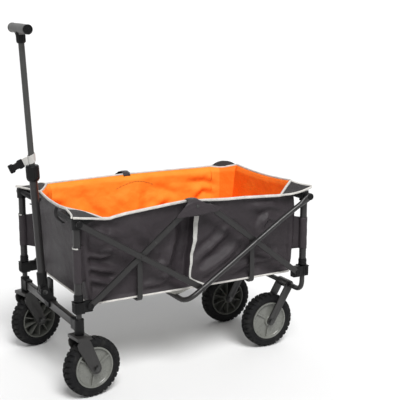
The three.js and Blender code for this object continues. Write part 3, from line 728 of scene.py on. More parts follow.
def build_bars():
    """The flat oval bars of the folding sides, with their rivets and end caps."""
    slope = math.atan2(BASE_PIN.z - TOP_PIN_Z, HALF_BASE)
    tail = (BAR_TAIL * math.cos(slope), BASE_PIN.z + BAR_TAIL * math.sin(slope))
    face = BAR_THICK / 2
    for hand, side in SIDES:
        top_bar = [
            flat_oval_bar((-HALF_BASE, TOP_PIN_Z), tail, MIDDLE_X, side),
            rivet(MIDDLE_X, -CROSS_PIN_Y, CROSS_PIN_Z, face, side, 0.0055),
            *stud(MIDDLE_X, STUD_END_X, -CROSS_PIN_Y, CROSS_PIN_Z, side),
        ]
        piece(f"bar_front_top_{hand}", top_bar, "paint", "front_top_bars",
              [f"front_top_bar_{hand}"])
        for end, sign, x in (("front", -1, INNER_X), ("rear", 1, MIDDLE_X)):
            low_end, hub_end = (sign * LOW_PIN_Y, LOW_PIN_Z), (sign * HUB_PIN_Y, HUB_PIN_Z)
            low_bar = [
                flat_oval_bar(low_end, hub_end, x, side),
                rivet(x, *hub_end, face, side),
            ]
            piece(f"bar_{end}_low_{hand}", low_bar, "paint", f"{end}_low_bars",
                  [f"{end}_low_bar_{hand}"])
            cap = end_cap(x, *low_end, face, side)
            piece(f"cap_{end}_low_{hand}", [cap], "plastic", f"{end}_low_bars")
        cap = end_cap(MIDDLE_X, -HALF_BASE, TOP_PIN_Z, face, side)
        piece(f"cap_front_top_{hand}", [cap], "plastic", "front_top_bars")


CROSSING_R = 0.008
CROSSING_BOW = 0.005
BOW_AT = 0.285
OVERRUN = 0.065                   # from the base pin to the bend under the wagon
EYE_R = 0.011
EYE_HALF = 0.0048


def crossing_path():
    """Half of the crossing tube: from its flattened eye, down past the base pin."""
    slope = (TOP_PIN_Z - BASE_PIN.z) / HALF_BASE
    length = math.hypot(1, slope)
    half = [(HALF_BASE, TOP_PIN_Z)]
    for t in np.linspace(0, 1, 12)[1:]:
        y = HALF_BASE * (1 - t)
        lift = CROSSING_BOW * (1 - abs(y - BOW_AT) / (BOW_AT if y < BOW_AT else HALF_BASE - BOW_AT))
        half.append((y, BASE_PIN.z + y * slope + max(lift, 0)))
    half.append((-OVERRUN / length, BASE_PIN.z - OVERRUN * slope / length))
    return half, (0, -slope / length, 1 / length)


def crossing_sweep():
    """The bent tube from eye to eye, pressed flat towards both eyes."""
    half, wide = crossing_path()
    left = [at(1, OUTER_X, y, z) for y, z in half]
    right = [at(-1, OUTER_X, y, z) for y, z in reversed(half)]
    bottom = bend([left[-2], left[-1], right[0], right[1]], 0.04, 10)
    path = line(left[0], left[1], 6)[:-1] + left[1:-2] + bottom + right[2:-1]
    path += line(right[-2], right[-1], 6)[1:]
    reach = np.array([min((p - left[0]).length, (p - right[-1]).length) for p in path])
    flat = smooth(0.045, 0.015, reach)
    return sweep(path, wide, 2 * CROSSING_R + 0.006 * flat, 2 * CROSSING_R - 0.0065 * flat, sides=28)


def build_crossing_tube():
    shells = [crossing_sweep()]
    face = CROSSING_R - 0.0006
    for side in (1, -1):
        ends = span(side, OUTER_X - EYE_HALF, OUTER_X + EYE_HALF)
        round_eye = [(MID_Y + HALF_BASE + EYE_R * math.cos(a), TOP_PIN_Z + EYE_R * math.sin(a))
                     for a in np.linspace(0, 2 * math.pi, 28, endpoint=False)]
        shells.append(prism(round_eye, *ends, 0.0014))
        shells.append(rivet(OUTER_X, CROSS_PIN_Y, CROSS_PIN_Z + 0.003, face, side, 0.0055))
        shells.append(rivet(OUTER_X, 0, BASE_PIN.z, face, side, 0.0055))
        shells += stud(OUTER_X, STUD_END_X, CROSS_PIN_Y, CROSS_PIN_Z, side)
        shells += stud(OUTER_X, MIDDLE_X - 0.0043, 0, BASE_PIN.z, side)
    piece("crossing_frame", shells, "paint", "crossing_tube", ["crossing_tube"])
    caps = [end_cap(OUTER_X, HALF_BASE, TOP_PIN_Z, EYE_HALF, side) for side in (1, -1)]
    piece("crossing_caps", caps, "plastic", "crossing_tube")


HANGER_THICK = 0.005


def build_hangers():
    """Flat straps hung on the cross pins, bent under the basket's floor."""
    for end, sign in ENDS:
        low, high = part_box(f"{end}_floor_hanger")
        floor, y = low.z + HANGER_THICK / 2, sign * CROSS_PIN_Y
        corners = [at(1, HANGER_X, y, high.z), at(1, HANGER_X, y, floor),
                   at(-1, HANGER_X, y, floor), at(-1, HANGER_X, y, high.z)]
        strap = sweep(bend(corners, 0.014, 8), (0, 1, 0), 0.016, HANGER_THICK, power=6, sides=24)
        piece(f"hanger_{end}", [strap], "paint", f"{end}_hanger", [f"{end}_floor_hanger"])


# ---- Wheels --------------------------------------------------------------------------------

TREAD_BLOCKS = 32
STEPS_PER_BLOCK = 14
TREAD_DEPTH = 0.0040
FIN_TURNS = (-60, 55, 170)        # degrees, of the three wide fins on the outer face
SPOKES = 10


def tread_height(turn, x):
    """1 on a tread block and 0 in a groove. Turn is the angle in block pitches."""
    zigzag = 0.0034 * (4 * np.abs(turn % 1 - 0.5) - 1)
    centre_groove = np.clip((np.abs(x - zigzag) - 0.0011) / 0.0007, 0, 1)
    offset = np.where(x > zigzag, 0.5, 0.0)
    slant = np.abs(x) * 9
    across = np.abs((turn + offset + slant) % 1 - 0.5)
    cross_groove = np.clip((across - 0.11) / 0.06, 0, 1)
    return np.minimum(centre_groove, cross_groove)


def tyre_shell():
    """A tyre about x: its side wall and crown turned, with the tread cut into the crown."""
    side_wall = [(0.0625, 0.0175), (0.0640, 0.0190), (0.0665, 0.0203), (0.0690, 0.0208),
                 (0.0695, 0.0201), (0.0702, 0.0201), (0.0708, 0.0209), (0.0740, 0.0210),
                 (0.0772, 0.0206), (0.0800, 0.0200), (0.0822, 0.0193), (0.0840, 0.0184),
                 (0.0855, 0.0172), (0.0866, 0.0158)]
    crown = [(0.0866 + 0.0024 * (1 - (x / 0.0158) ** 2) ** 0.6, x)
             for x in np.linspace(0.0145, -0.0145, 27)]
    profile = np.array(side_wall + crown + [(r, -x) for r, x in reversed(side_wall)])
    seat = np.array([(0.0622, -0.015), (0.0622, 0.015)])
    profile = np.vstack([profile, seat])
    steps = TREAD_BLOCKS * STEPS_PER_BLOCK
    turn = np.arange(steps) * TREAD_BLOCKS / steps
    radius, x = profile[:, 0], profile[:, 1]
    lift = tread_height(turn[:, None], x[None, :])
    deep = TREAD_DEPTH * np.clip((radius - 0.0790) / 0.006, 0, 1)
    radius = radius[None, :] - deep[None, :] * (1 - lift)
    angle = turn * 2 * np.pi / TREAD_BLOCKS
    points = np.stack([
        np.broadcast_to(x, radius.shape), radius * np.cos(angle)[:, None],
        radius * np.sin(angle)[:, None],
    ], axis=-1).reshape(-1, 3)
    return points, grid_faces(steps, len(profile), wrap_rows=True, wrap_columns=True)


def radial_fin(angle, inner, outer, thick, low, inner_high, outer_high):
    """A thin rib on a disc across x, standing from low to a sloping top."""
    half = thick / 2
    corners = [(low, inner), (inner_high, inner), (outer_high, outer), (low, outer)]
    points = np.array([(x, t, r) for t in (-half, half) for x, r in corners])
    bm = bmesh.new()
    verts = [bm.verts.new(p) for p in points]
    for ring in ((3, 2, 1, 0), (4, 5, 6, 7)):
        bm.faces.new([verts[i] for i in ring])
    for i in range(4):
        j = (i + 1) % 4
        bm.faces.new((verts[i], verts[j], verts[j + 4], verts[i + 4]))
    bmesh.ops.recalc_face_normals(bm, faces=bm.faces)
    return moved(softened(bm, 0.0005), Matrix.Rotation(angle, 4, "X"))


def hub_shells(outward):
    """A dish near the outer face with three wide fins, and a deep back with ten thin ones."""
    outer = [(0.0065, 0.0240), (0.0155, 0.0240), (0.0170, 0.0230), (0.0180, 0.0200),
             (0.0196, 0.0166), (0.0240, 0.0150), (0.0360, 0.0122), (0.0470, 0.0120),
             (0.0522, 0.0132), (0.0550, 0.0160), (0.0560, 0.0186), (0.0570, 0.0195),
             (0.0602, 0.0195), (0.0613, 0.0188), (0.0618, 0.0170), (0.0618, 0.0105),
             (0.0200, 0.0105), (0.0065, 0.0105)]
    inner = [(0.0618, 0.0104), (0.0618, -0.0160), (0.0610, -0.0185), (0.0582, -0.0188),
             (0.0572, -0.0180), (0.0562, -0.0020), (0.0520, 0.0080), (0.0200, 0.0100),
             (0.0165, 0.0060), (0.0155, -0.0225), (0.0140, -0.0240), (0.0065, -0.0240),
             (0.0065, 0.0104)]
    mirror = Matrix.Scale(outward, 4, (1, 0, 0))
    front = [lathe([(r, x * outward) for r, x in outer], axis="x", sides=96)]
    back = [lathe([(r, x * outward) for r, x in inner], axis="x", sides=96)]
    for angle in FIN_TURNS:
        fin = radial_fin(math.radians(angle), 0.0165, 0.0565, 0.0046, 0.0110, 0.0188, 0.0180)
        front.append(moved(fin, mirror))
    for i in range(SPOKES):
        fin = radial_fin(2 * math.pi * i / SPOKES, 0.0150, 0.0568, 0.0024, 0.0085, -0.0195, -0.0150)
        back.append(moved(fin, mirror))
    return front, back


HEX_TURN = 0.2                    # how far the bolt heads are turned, in radians


def hexagon(radius, low, high, edge=0.0007):
    outline = [(radius * math.cos(a), radius * math.sin(a))
               for a in np.linspace(0, 2 * math.pi, 6, endpoint=False) + HEX_TURN]
    return prism(outline, low, high, edge)


def axle_shells():
    """A bolt through a wheel, with a washer, a hexagon and a domed end on each side."""
    shells = [rounded_rod(0.006, -0.0335, 0.0335, (0, 0, 0), "x", 0.001)]
    for side in (1, -1):
        shells.append(rounded_rod(0.0098, *span(side, 0.0303, 0.0317), (0, 0, 0), "x", 0.0004))
        shells.append(hexagon(0.0082, *span(side, 0.0317, 0.0352)))
        cap = [(0, 0.0352), (0.0058, 0.0352), (0.0052, 0.0361), (0.003, 0.0363), (0, 0.0363)]
        shells.append(lathe(cap, axis="x", sides=24, flip=side))
    return shells


def build_wheels():
    rolling, axle = tyre_shell(), axle_shells()
    for hand, side in SIDES:
        disc, back = hub_shells(side)
        rear = Matrix.Translation((side * REAR_WHEEL.x, REAR_WHEEL.y, WHEEL_R))
        turn = Matrix.Rotation(math.radians(CASTER_PARKED[hand]), 4, "Z")
        front = (Matrix.Translation((side * POST_X, POST_Y["front"], WHEEL_R)) @ turn
                 @ Matrix.Translation((0, CASTER_TRAIL, 0)))
        for end, place, carrier in (("rear", rear, "rear_frame"), ("front", front, f"caster_{hand}")):
            wheel = f"{end}_wheel_{hand}"
            for name, shells, look, body, node, sharp in (
                ("tyre", [rolling], "tyre", wheel, [f"{end}_tyre_{hand}"], 50),
                ("hub", disc, "hub", wheel, [f"{end}_wheel_hub_{hand}"], 40),
                # the back of the hub gets the darker copy of the hub plastic, as painted shade
                ("shaded_hub_back", back, "shaded_hub_back", wheel, (), 40),
                ("bolt", axle, "dark_steel", carrier, [f"{end}_axle_{hand}"], 40),
            ):
                placed = [moved(shell, place) for shell in shells]
                piece(f"{name}_{end}_{hand}", placed, look, body, node, sharp)


# ---- Pull handle ---------------------------------------------------------------------------

HANDLE_FRAME = (Matrix.Translation(HANDLE_PIVOT)
                @ Matrix.Rotation(math.radians(HANDLE_LEAN), 4, "X"))


def fluted_lathe(profile, flutes, depth, low, high, sides=160):
    """A lathe about z whose wall has upright flutes between two heights."""
    points, faces = lathe(profile, axis="z", sides=sides)
    for i, (x, y, z) in enumerate(points):
        radius = math.hypot(x, y)
        fade = min(max((z - low) / 0.004, 0), max((high - z) / 0.004, 0), 1)
        if fade > 0 and radius > 0.0132:
            wave = 0.5 - 0.5 * math.cos(math.atan2(y, x) * flutes)
            scale = (radius - depth * fade * (1 - wave) ** 2) / radius
            points[i][:2] *= scale
    return points, faces


def on_handle(shells):
    return [moved(shell, HANDLE_FRAME) for shell in shells]


def build_handle():
    """The two tubes, as (bore, radius, foot, head) along the handle, and the lock on the lower."""
    tubes = {
        "lower": ((0.0104, 0.012, 0.0325, 0.368), 40, "paint", "handle", "handle_outer_tube"),
        "upper": ((0.0076, 0.009, 0.292, 0.764), 36, "pale_paint", "handle_top", "handle_inner_tube"),
    }
    for name, (sizes, sides, look, body, node) in tubes.items():
        shell = lathe(ring_profile(*sizes), axis="z", sides=sides)
        piece(f"handle_{name}_tube", on_handle([shell]), look, body, [node])
    collar = fluted_lathe([
        (0.0123, 0.3410), (0.0145, 0.3410), (0.0155, 0.3416), (0.0172, 0.3440), (0.0192, 0.3475),
        (0.0199, 0.3510), (0.0200, 0.3550), (0.0200, 0.3620), (0.0200, 0.3700), (0.0200, 0.3780),
        (0.0199, 0.3840), (0.0190, 0.3868), (0.0172, 0.3880), (0.0095, 0.3880), (0.0095, 0.3683),
        (0.0123, 0.3683),
    ], 14, 0.0016, 0.350, 0.3825)
    piece("handle_lock", on_handle([collar]), "plastic", "handle", ["handle_collar"])


STRAP_Z = 0.409
STRAP_DROOP = math.radians(20)
STRAP_WIDTH = 0.024
STRAP_THICK = 0.0018
STRAP_BORE = 0.0099
LOOP_GAP = 0.1                    # radians, left open each side of where the loop's ends meet


def strap_height(y):
    return STRAP_Z + math.tan(STRAP_DROOP) * y


def strap_shells():
    """The band round the upper tube, and its two layers that run to the clip."""
    loop = []
    for a in np.linspace(-math.pi / 2 + LOOP_GAP, 1.5 * math.pi - LOOP_GAP, 48):
        radius = STRAP_BORE + STRAP_THICK / 2 + 0.0003 + 0.0003 * math.sin(5 * a)
        x, y = radius * math.cos(a), radius * math.sin(a)
        loop.append(Vector((x, y, strap_height(y) + 0.0006 * math.sin(3 * a))))
    shells = [sweep(loop, (0, 0, 1), STRAP_WIDTH, STRAP_THICK, power=6, sides=20)]
    across = (0, -math.sin(STRAP_DROOP), math.cos(STRAP_DROOP))
    for x, sway in ((0.0010, 0.0006), (-0.0010, -0.0004)):
        tongue = []
        for t in np.linspace(0, 1, 12):
            y = -STRAP_BORE - STRAP_THICK * 0.6 - t * 0.0185
            tongue.append(Vector((x + sway * math.sin(7 * t), y, strap_height(y))))
        shells.append(sweep(tongue, across, STRAP_WIDTH * 0.96, STRAP_THICK * 0.9, power=6, sides=20))
    return shells


def clip_shells():
    """A side-release clip, waisted, with three rails along its mouth and three ridges at its end."""
    half = [(-0.0285, 0.0130), (-0.0425, 0.0134), (-0.0455, 0.0100), (-0.0540, 0.0086),
            (-0.0585, 0.0098), (-0.0610, 0.0132), (-0.0722, 0.0128), (-0.0740, 0.0105)]
    shells = [prism(half + [(u, -v) for u, v in reversed(half)], -0.0045, 0.0045, 0.0014)]
    for v in (-0.0085, 0.0, 0.0085):
        rail = [(-0.0300, v - 0.0014), (-0.0420, v - 0.0014), (-0.0420, v + 0.0014),
                (-0.0300, v + 0.0014)]
        shells.append(prism(rail, -0.0056, 0.0056, 0.0007))
    for u in (-0.0640, -0.0675, -0.0710):
        ridge = [(u, -0.0095), (u, 0.0095), (u - 0.0016, 0.0095), (u - 0.0016, -0.0095)]
        shells.append(prism(ridge, -0.0053, 0.0053, 0.0005))
    droop = Matrix.Translation((0, 0, STRAP_Z)) @ Matrix.Rotation(STRAP_DROOP, 4, "X")
    return [moved(shell, droop) for shell in shells]


def build_strap():
    strap = piece("handle_band", on_handle(strap_shells()), "webbing", "handle", ["handle_strap"],
                  cloth_along=(0, 1, 0))
    piece("handle_clip", on_handle(clip_shells()), "plastic", "handle", ["handle_buckle"])


GRIP_Z = 0.785
GRIP_HALF = 0.069
GRIP_R = 0.014
CAP = 0.0055                      # how much of each end the sleeve leaves to its cap


def grip_sleeve():
    """The sleeve of the T, swelling slightly at its middle, and two webs down to the tube."""
    end = GRIP_HALF - CAP
    lip = [(GRIP_R, end - 0.0025), (GRIP_R - 0.0004, end - 0.0007), (GRIP_R - 0.0015, end), (0, end)]
    sleeve = [(r, -x) for r, x in reversed(lip)]
    for x in np.linspace(0.014 - GRIP_HALF, GRIP_HALF - 0.014, 25):
        swell = 0.0006 * math.cos(x / GRIP_HALF * math.pi * 0.5) ** 2
        sleeve.append((GRIP_R - 0.0004 + swell, x))
    shells = [lathe(sleeve + lip, (0, 0, GRIP_Z), "x", 48)]
    for side, drop, spread in ((1, 0.0060, 0.0030), (-1, 0.0225, 0.0160)):
        web = [(0.7780, 0.0)]
        for t in np.linspace(0, math.pi / 2, 12):
            web.append((0.7745 - drop * math.sin(t) ** 1.4,
                        side * (0.0146 + spread * (1 - math.sin(t)) ** 1.6)))
        web.append((0.7745 - drop, 0.0))
        shells.append(prism(web, -0.0085, 0.0085, 0.0012, "y"))
    return shells


def grip_cap(side):
    """The cap on one end of the sleeve: a ring with a cross of four ribs inside."""
    half = GRIP_HALF
    rim = [(0, half - 0.0075), (0.0139, half - 0.0075), (0.0142, half - 0.0066),
           (0.0142, half - 0.0014), (0.0134, half - 0.0002), (0.0122, half),
           (0.0112, half - 0.0006), (0.0108, half - 0.0030), (0, half - 0.0034)]
    shells = [lathe(rim, (0, 0, GRIP_Z), "x", 48, side)]
    place = Matrix.Translation((0, 0, GRIP_Z)) @ Matrix.Scale(side, 4, (1, 0, 0))
    for quarter in range(4):
        rib = radial_fin(quarter * math.pi / 2 + 0.5, 0.0006, 0.0108, 0.0026, half - 0.0042,
                         half - 0.0008, half - 0.0016)
        shells.append(moved(rib, place))
    return shells


def build_grip():
    piece("grip_sleeve", on_handle(grip_sleeve()), "grip", "handle_top", ["handle_grip"])
    socket = fluted_lathe([
        (0.0093, 0.7440), (0.0108, 0.7440), (0.0128, 0.7462), (0.0136, 0.7490), (0.0138, 0.7540),
        (0.0138, 0.7590), (0.0138, 0.7650), (0.0138, 0.7700), (0.0136, 0.7760), (0.0093, 0.7760),
    ], 12, 0.0018, 0.7475, 0.7740)
    shells = [socket, *grip_cap(1), *grip_cap(-1)]
    piece("grip_socket", on_handle(shells), "plastic", "handle_top")


# ---- CAD nodes that stay -------------------------------------------------------------------


KEPT_PAIRS = {"rear_fork": "dark_paint", "caster_fork": "dark_paint", "caster_socket": "plastic",
              "top_hub": "plastic", "front_top_bracket": "plastic", "rear_top_bracket": "plastic"}
KEPT_SINGLES = {"front_crossbar": "dark_paint", "handle_yoke": "plastic", "handle_knuckle": "plastic",
                "handle_pin": "dark_steel"}


def keep_hard_parts():
    for hand, _ in SIDES:
        for node, look in KEPT_PAIRS.items():
            carry_over(f"{node}_{hand}", look)
    for node, look in KEPT_SINGLES.items():
        carry_over(node, look)


WASHER_TURN = 0.3                 # radians


def build_stem_washers():
    for hand, side in SIDES:
        place = Matrix.Translation((side * POST_X, POST_Y["front"], 0))
        place = place @ Matrix.Rotation(WASHER_TURN, 4, "Z")
        washer = rounded_rod(0.0115, CROWN_TOP, CROWN_TOP + 0.0009, (0, 0, 0), "z", 0.0003)
        piece(f"stem_washer_{hand}", [moved(washer, place)], "steel", f"caster_{hand}")


# ---- Basket --------------------------------------------------------------------------------
# Every point of the cloth is worked out from its place round the basket and its height. The rim
# lines are points of (place along, height) on each long side.

NEAR_RIM = [(-0.345, 0.5275), (-0.326, 0.5255), (-0.300, 0.5210), (-0.280, 0.5195),
            (-0.262, 0.5230), (-0.233, 0.5270), (-0.186, 0.5310), (-0.138, 0.5350),
            (-0.089, 0.5395), (-0.033, 0.5430), (0.024, 0.5390), (0.062, 0.5365),
            (0.114, 0.5340), (0.167, 0.5320), (0.221, 0.5290), (0.276, 0.5255),
            (0.300, 0.5245), (0.345, 0.5300)]
FAR_RIM = [(-0.345, 0.5300), (-0.300, 0.5400), (-0.150, 0.5425), (0.0, 0.5440), (0.150, 0.5425),
           (0.300, 0.5410), (0.345, 0.5300)]
RIM_X = 0.2223
SIDE_END = 0.300                                    # where the straight part of a long side ends
RIM_END = {"front": (-0.354, -0.376), "rear": (0.384, 0.365)}      # at the right, at the left
END_RIM_Z = {"front": (0.537, 0.542), "rear": (0.546, 0.557)}      # its height there
END_HALF = {"front": 0.132, "rear": 0.180}          # half the straight part of each end
END_SWELL = 0.0085                                  # how far the corners belly out to the posts
SHELL_CORNER_Z = 0.5300
CORNER_R = 0.016
LINER_CORNER_R = 0.050
TIP_X = 0.245
TIP = {("front", 1): (-0.402, 0.540), ("front", -1): (-0.402, 0.540), ("rear", 1): (0.408, 0.547),
       ("rear", -1): (0.404, 0.539)}                # each gusset's tip: place along, height
ROWS = 48
SIDE_COLUMNS, CHAMFER_COLUMNS, END_COLUMNS = 170, 12, 70

# The seam of the middle fold, as (height, place along the side), and ridges of cloth, each a
# line of (place along, height) with its rise and width.
SEAM = [(0.272, 0.040), (0.277, 0.027), (0.285, 0.008), (0.299, -0.018), (0.311, -0.019),
        (0.354, -0.011), (0.408, -0.002), (0.446, 0.002), (0.489, 0.007), (0.530, 0.010)]
RIDGE_GAIN = 2.3
RIDGES = [
    ([(-0.349, 0.424), (-0.305, 0.409), (-0.262, 0.414)], 0.0060, 0.010),
    ([(-0.350, 0.390), (-0.306, 0.371), (-0.250, 0.358)], 0.0065, 0.010),
    ([(-0.347, 0.355), (-0.307, 0.336), (-0.260, 0.319)], 0.0060, 0.010),
    ([(-0.330, 0.490), (-0.286, 0.470), (-0.240, 0.460)], 0.0040, 0.013),
    ([(-0.200, 0.500), (-0.150, 0.440), (-0.110, 0.380)], 0.0035, 0.018),
    ([(-0.130, 0.330), (-0.090, 0.360), (-0.060, 0.440)], 0.0040, 0.014),
    ([(-0.180, 0.300), (-0.120, 0.305), (-0.070, 0.330)], 0.0035, 0.011),
    ([(0.000, 0.345), (0.070, 0.399), (0.125, 0.440)], 0.0050, 0.012),
    ([(0.020, 0.305), (0.100, 0.345), (0.180, 0.405)], 0.0050, 0.013),
    ([(0.110, 0.295), (0.210, 0.325), (0.310, 0.330)], 0.0045, 0.012),
    ([(0.190, 0.500), (0.270, 0.492), (0.330, 0.470)], 0.0040, 0.013),
    ([(0.225, 0.420), (0.262, 0.459), (0.330, 0.440)], 0.0045, 0.012),
    ([(0.060, 0.500), (0.110, 0.480), (0.170, 0.455)], 0.0030, 0.014),
]


def smooth(low, high, value):
    t = np.clip((value - low) / (high - low), 0, 1)
    return t * t * (3 - 2 * t)


def bell(value, middle, width):
    return np.exp(-((value - middle) / width) ** 2)


def fractal(points, scale, seed):
    """Smooth noise from about -1 to 1 at each point."""
    shift = Vector((seed * 7.31, seed * 3.77, seed * 1.93))
    values = [noise.fractal(Vector(p) * scale + shift, 0.9, 2.1, 3) for p in points.reshape(-1, 3)]
    return np.array(values).reshape(points.shape[:-1])


def rim_stations(corner_r):
    """Points round the rim, those below them round the bottom, and each one's share of an end."""
    top, bottom, lean = [], [], []
    inner_x, inner_y = BASKET_X - corner_r, BASKET_Y - corner_r

    def side(start, end, count, sign):
        for t in np.arange(count) / count:
            share = start + (end - start) * t
            share = math.copysign(abs(share) ** 1.25, share)
            top.append((sign * RIM_X, share * SIDE_END))
            bottom.append((sign * BASKET_X, share * inner_y))
            lean.append(0.0)

    def corner(count, top_from, top_to, signs, start, rising):
        for t in np.arange(count) / count:
            angle = start + t * math.pi / 2
            top.append([a + (b - a) * t for a, b in zip(top_from, top_to)])
            bottom.append((signs[0] * inner_x + corner_r * math.cos(angle),
                           signs[1] * inner_y + corner_r * math.sin(angle)))
            lean.append(t if rising else 1 - t)

    def end(start, stop, count, sign):
        half = abs(start[0])
        for t in np.arange(count) / count:
            x = start[0] + (stop[0] - start[0]) * t
            top.append((x, start[1] + (stop[1] - start[1]) * t))
            bottom.append((x / half * inner_x, sign * BASKET_Y))
            lean.append(1.0)

    (rear_right, rear_left), (front_right, front_left) = RIM_END["rear"], RIM_END["front"]
    corners = {
        "rear_left": (END_HALF["rear"], rear_left), "rear_right": (-END_HALF["rear"], rear_right),
        "front_right": (-END_HALF["front"], front_right),
        "front_left": (END_HALF["front"], front_left),
    }
    quarter = math.pi / 2
    side(0, 1, SIDE_COLUMNS // 2, 1)
    corner(CHAMFER_COLUMNS, (RIM_X, SIDE_END), corners["rear_left"], (1, 1), 0, True)
    end(corners["rear_left"], corners["rear_right"], END_COLUMNS, 1)
    corner(CHAMFER_COLUMNS, corners["rear_right"], (-RIM_X, SIDE_END), (-1, 1), quarter, False)
    side(1, -1, SIDE_COLUMNS, -1)
    corner(CHAMFER_COLUMNS, (-RIM_X, -SIDE_END), corners["front_right"], (-1, -1), 2 * quarter, True)
    end(corners["front_right"], corners["front_left"], END_COLUMNS, -1)
    corner(CHAMFER_COLUMNS, corners["front_left"], (RIM_X, -SIDE_END), (1, -1), 3 * quarter, False)
    side(-1, 0, SIDE_COLUMNS // 2, 1)
    return np.array(top), np.array(bottom), np.array(lean)


def end_half(y):
    return np.where(y > 0, END_HALF["rear"], END_HALF["front"])


def rim_height(top):
    """Height of the rim over each station."""
    x, y = top[:, 0], top[:, 1]
    half = end_half(y)
    side = np.where(x > 0, np.interp(y, *zip(*NEAR_RIM)), np.interp(y, *zip(*FAR_RIM)))
    share = np.clip((x + half) / (2 * half), 0, 1)
    right, left = np.where(y[:, None] > 0, END_RIM_Z["rear"], END_RIM_Z["front"]).T
    end = right * (1 - share) + left * share - 0.007 * (1 - (2 * share - 1) ** 2)
    corner = np.clip((np.abs(x) - half) / (RIM_X - half), 0, 1)
    return end * (1 - corner) + side * corner


TOP, BOTTOM, LEAN = rim_stations(CORNER_R)
LINER_BOTTOM = rim_stations(LINER_CORNER_R)[1]
TOP_Z = rim_height(TOP)


def shell_top():
    """The outer wall keeps its square corners up to the gussets, and leans out at the ends."""
    lean = np.abs(TOP[:, 1]) - BASKET_Y
    at_end = LEAN > 0.999
    corner_lean = {}
    for x_sign in (1, -1):
        for y_sign in (1, -1):
            name = "rear" if y_sign > 0 else "front"
            corner_lean[x_sign, y_sign] = abs(RIM_END[name][1 if x_sign > 0 else 0]) - BASKET_Y
    signs = zip(np.sign(TOP[:, 0]), np.sign(TOP[:, 1]))
    corner = np.array([corner_lean.get((int(a), int(b)), 0.0) for a, b in signs])
    outward = np.where(at_end, lean, corner * LEAN)
    y = BOTTOM[:, 1] + np.sign(BOTTOM[:, 1]) * outward
    side_z = np.where(BOTTOM[:, 0] > 0, np.interp(BOTTOM[:, 1], *zip(*NEAR_RIM)),
                      np.interp(BOTTOM[:, 1], *zip(*FAR_RIM)))
    past = np.clip((np.abs(BOTTOM[:, 0]) - end_half(BOTTOM[:, 1])) / 0.022, 0, 1)
    end_z = TOP_Z * (1 - past) + SHELL_CORNER_Z * past
    z = np.where(at_end, end_z, np.where(LEAN > 0, SHELL_CORNER_Z, side_z))
    return np.stack([BOTTOM[:, 0], y], axis=1), z


def ridge_height(y, z, line_points, rise, width):
    """A rounded ridge along a line on the wall, fading at its ends."""
    nearest, place = np.full(y.shape, 1e9), np.zeros(y.shape)
    spans = list(zip(line_points, line_points[1:]))
    for index, ((y0, z0), (y1, z1)) in enumerate(spans):
        length = (y1 - y0) ** 2 + (z1 - z0) ** 2
        t = np.clip(((y - y0) * (y1 - y0) + (z - z0) * (z1 - z0)) / length, 0, 1)
        distance = np.hypot(y - y0 - t * (y1 - y0), z - z0 - t * (z1 - z0))
        closer = distance < nearest
        nearest = np.where(closer, distance, nearest)
        place = np.where(closer, (index + t) / len(spans), place)
    fade = np.sin(np.pi * np.clip(place, 0.02, 0.98)) ** 0.6
    return rise * fade * (np.exp(-(nearest / width) ** 2) - 0.45 * bell(nearest, 1.9 * width, width))


def side_folds(y, z, up, fold, share):
    """How far the long walls are drawn inward: the middle fold, wrinkles and a slack belly."""
    depth, start, full, ebb, end = fold
    before_seam = np.interp(z, *zip(*SEAM)) - y
    folded = smooth(start, full, before_seam) * (1 - smooth(ebb, end, before_seam))
    depth = depth * share * folded * smooth(0.0, 0.10, up) * (1 - 0.55 * smooth(0.70, 1.0, up))
    for line_points, rise, width in RIDGES:
        depth = depth - RIDGE_GAIN * ridge_height(y, z, line_points, rise, width)
    return depth + 0.005 * np.sin(np.pi * up) ** 1.3 + 0.0100


def wall_pull(points, up, fold, shrink, seed):
    """How far each point of a wall is drawn inward, by its folds, wrinkles and hems."""
    x, y, z = (points[..., k] for k in range(3))
    on_side = 1 - np.clip(LEAN * 3, 0, 1)
    fold_share = np.where(x > 0, 1.0, 0.4)
    inward = on_side * side_folds(y, z, up, fold, fold_share)
    inward = inward + (1 - on_side) * (0.006 * np.sin(np.pi * up) ** 1.2 + 0.004)
    calm = 0.45 + 0.55 * on_side
    inward = inward + 0.0042 * calm * fractal(points * (1.0, 1.0, 1.5), 12.0, seed)
    inward = inward + 0.0010 * calm ** 2 * fractal(points, 45.0, seed + 1)
    corner_bulge = 0.011 * np.sin(np.pi * np.clip(up, 0, 1)) ** 0.7 * bell(LEAN, 0.55, 0.5)
    inward = inward - corner_bulge * (shrink < 0.001)
    hem = np.minimum(smooth(0, 0.06, up), smooth(1.0, 0.95, up))
    lowest = np.where(np.broadcast_to(LEAN > 0.05, x.shape), -0.012, 0.0)
    return np.maximum(inward * hem, lowest) + shrink * np.maximum(hem, 0.3)


def wall_surface(base, top, top_z, shrink, fold, seed):
    """Grid of points of a basket wall: rows from the bottom to the rim, columns round it."""
    up = np.linspace(0, 1, ROWS)[:, None]
    cut = smooth(0.0, 1.0, up)
    lean = cut * (1 - LEAN) + up * LEAN
    x = base[:, 0] + (top[:, 0] - base[:, 0]) * cut
    y = base[:, 1] + (top[:, 1] - base[:, 1]) * lean
    z = BASKET_BOTTOM + (top_z - BASKET_BOTTOM) * up
    points = np.stack([x, y, np.broadcast_to(z, x.shape)], axis=-1)
    ahead = np.roll(points, -1, 1) - np.roll(points, 1, 1)
    ahead[..., 2] = 0
    ahead /= np.linalg.norm(ahead, axis=2)[..., None]
    up = np.broadcast_to(up, x.shape)
    inward = wall_pull(points, up, fold, shrink, seed)
    points[..., 0] -= ahead[..., 1] * inward
    points[..., 1] += ahead[..., 0] * inward
    near_end = smooth(0.86, 1.0, np.abs(points[..., 1]) / BASKET_Y)
    points[..., 1] += np.sign(y) * END_SWELL * np.sin(np.pi * up) ** 0.7 * near_end
    limit = BASKET_X + 0.0004
    points[..., 0] = np.clip(points[..., 0], -limit, limit)
    return points


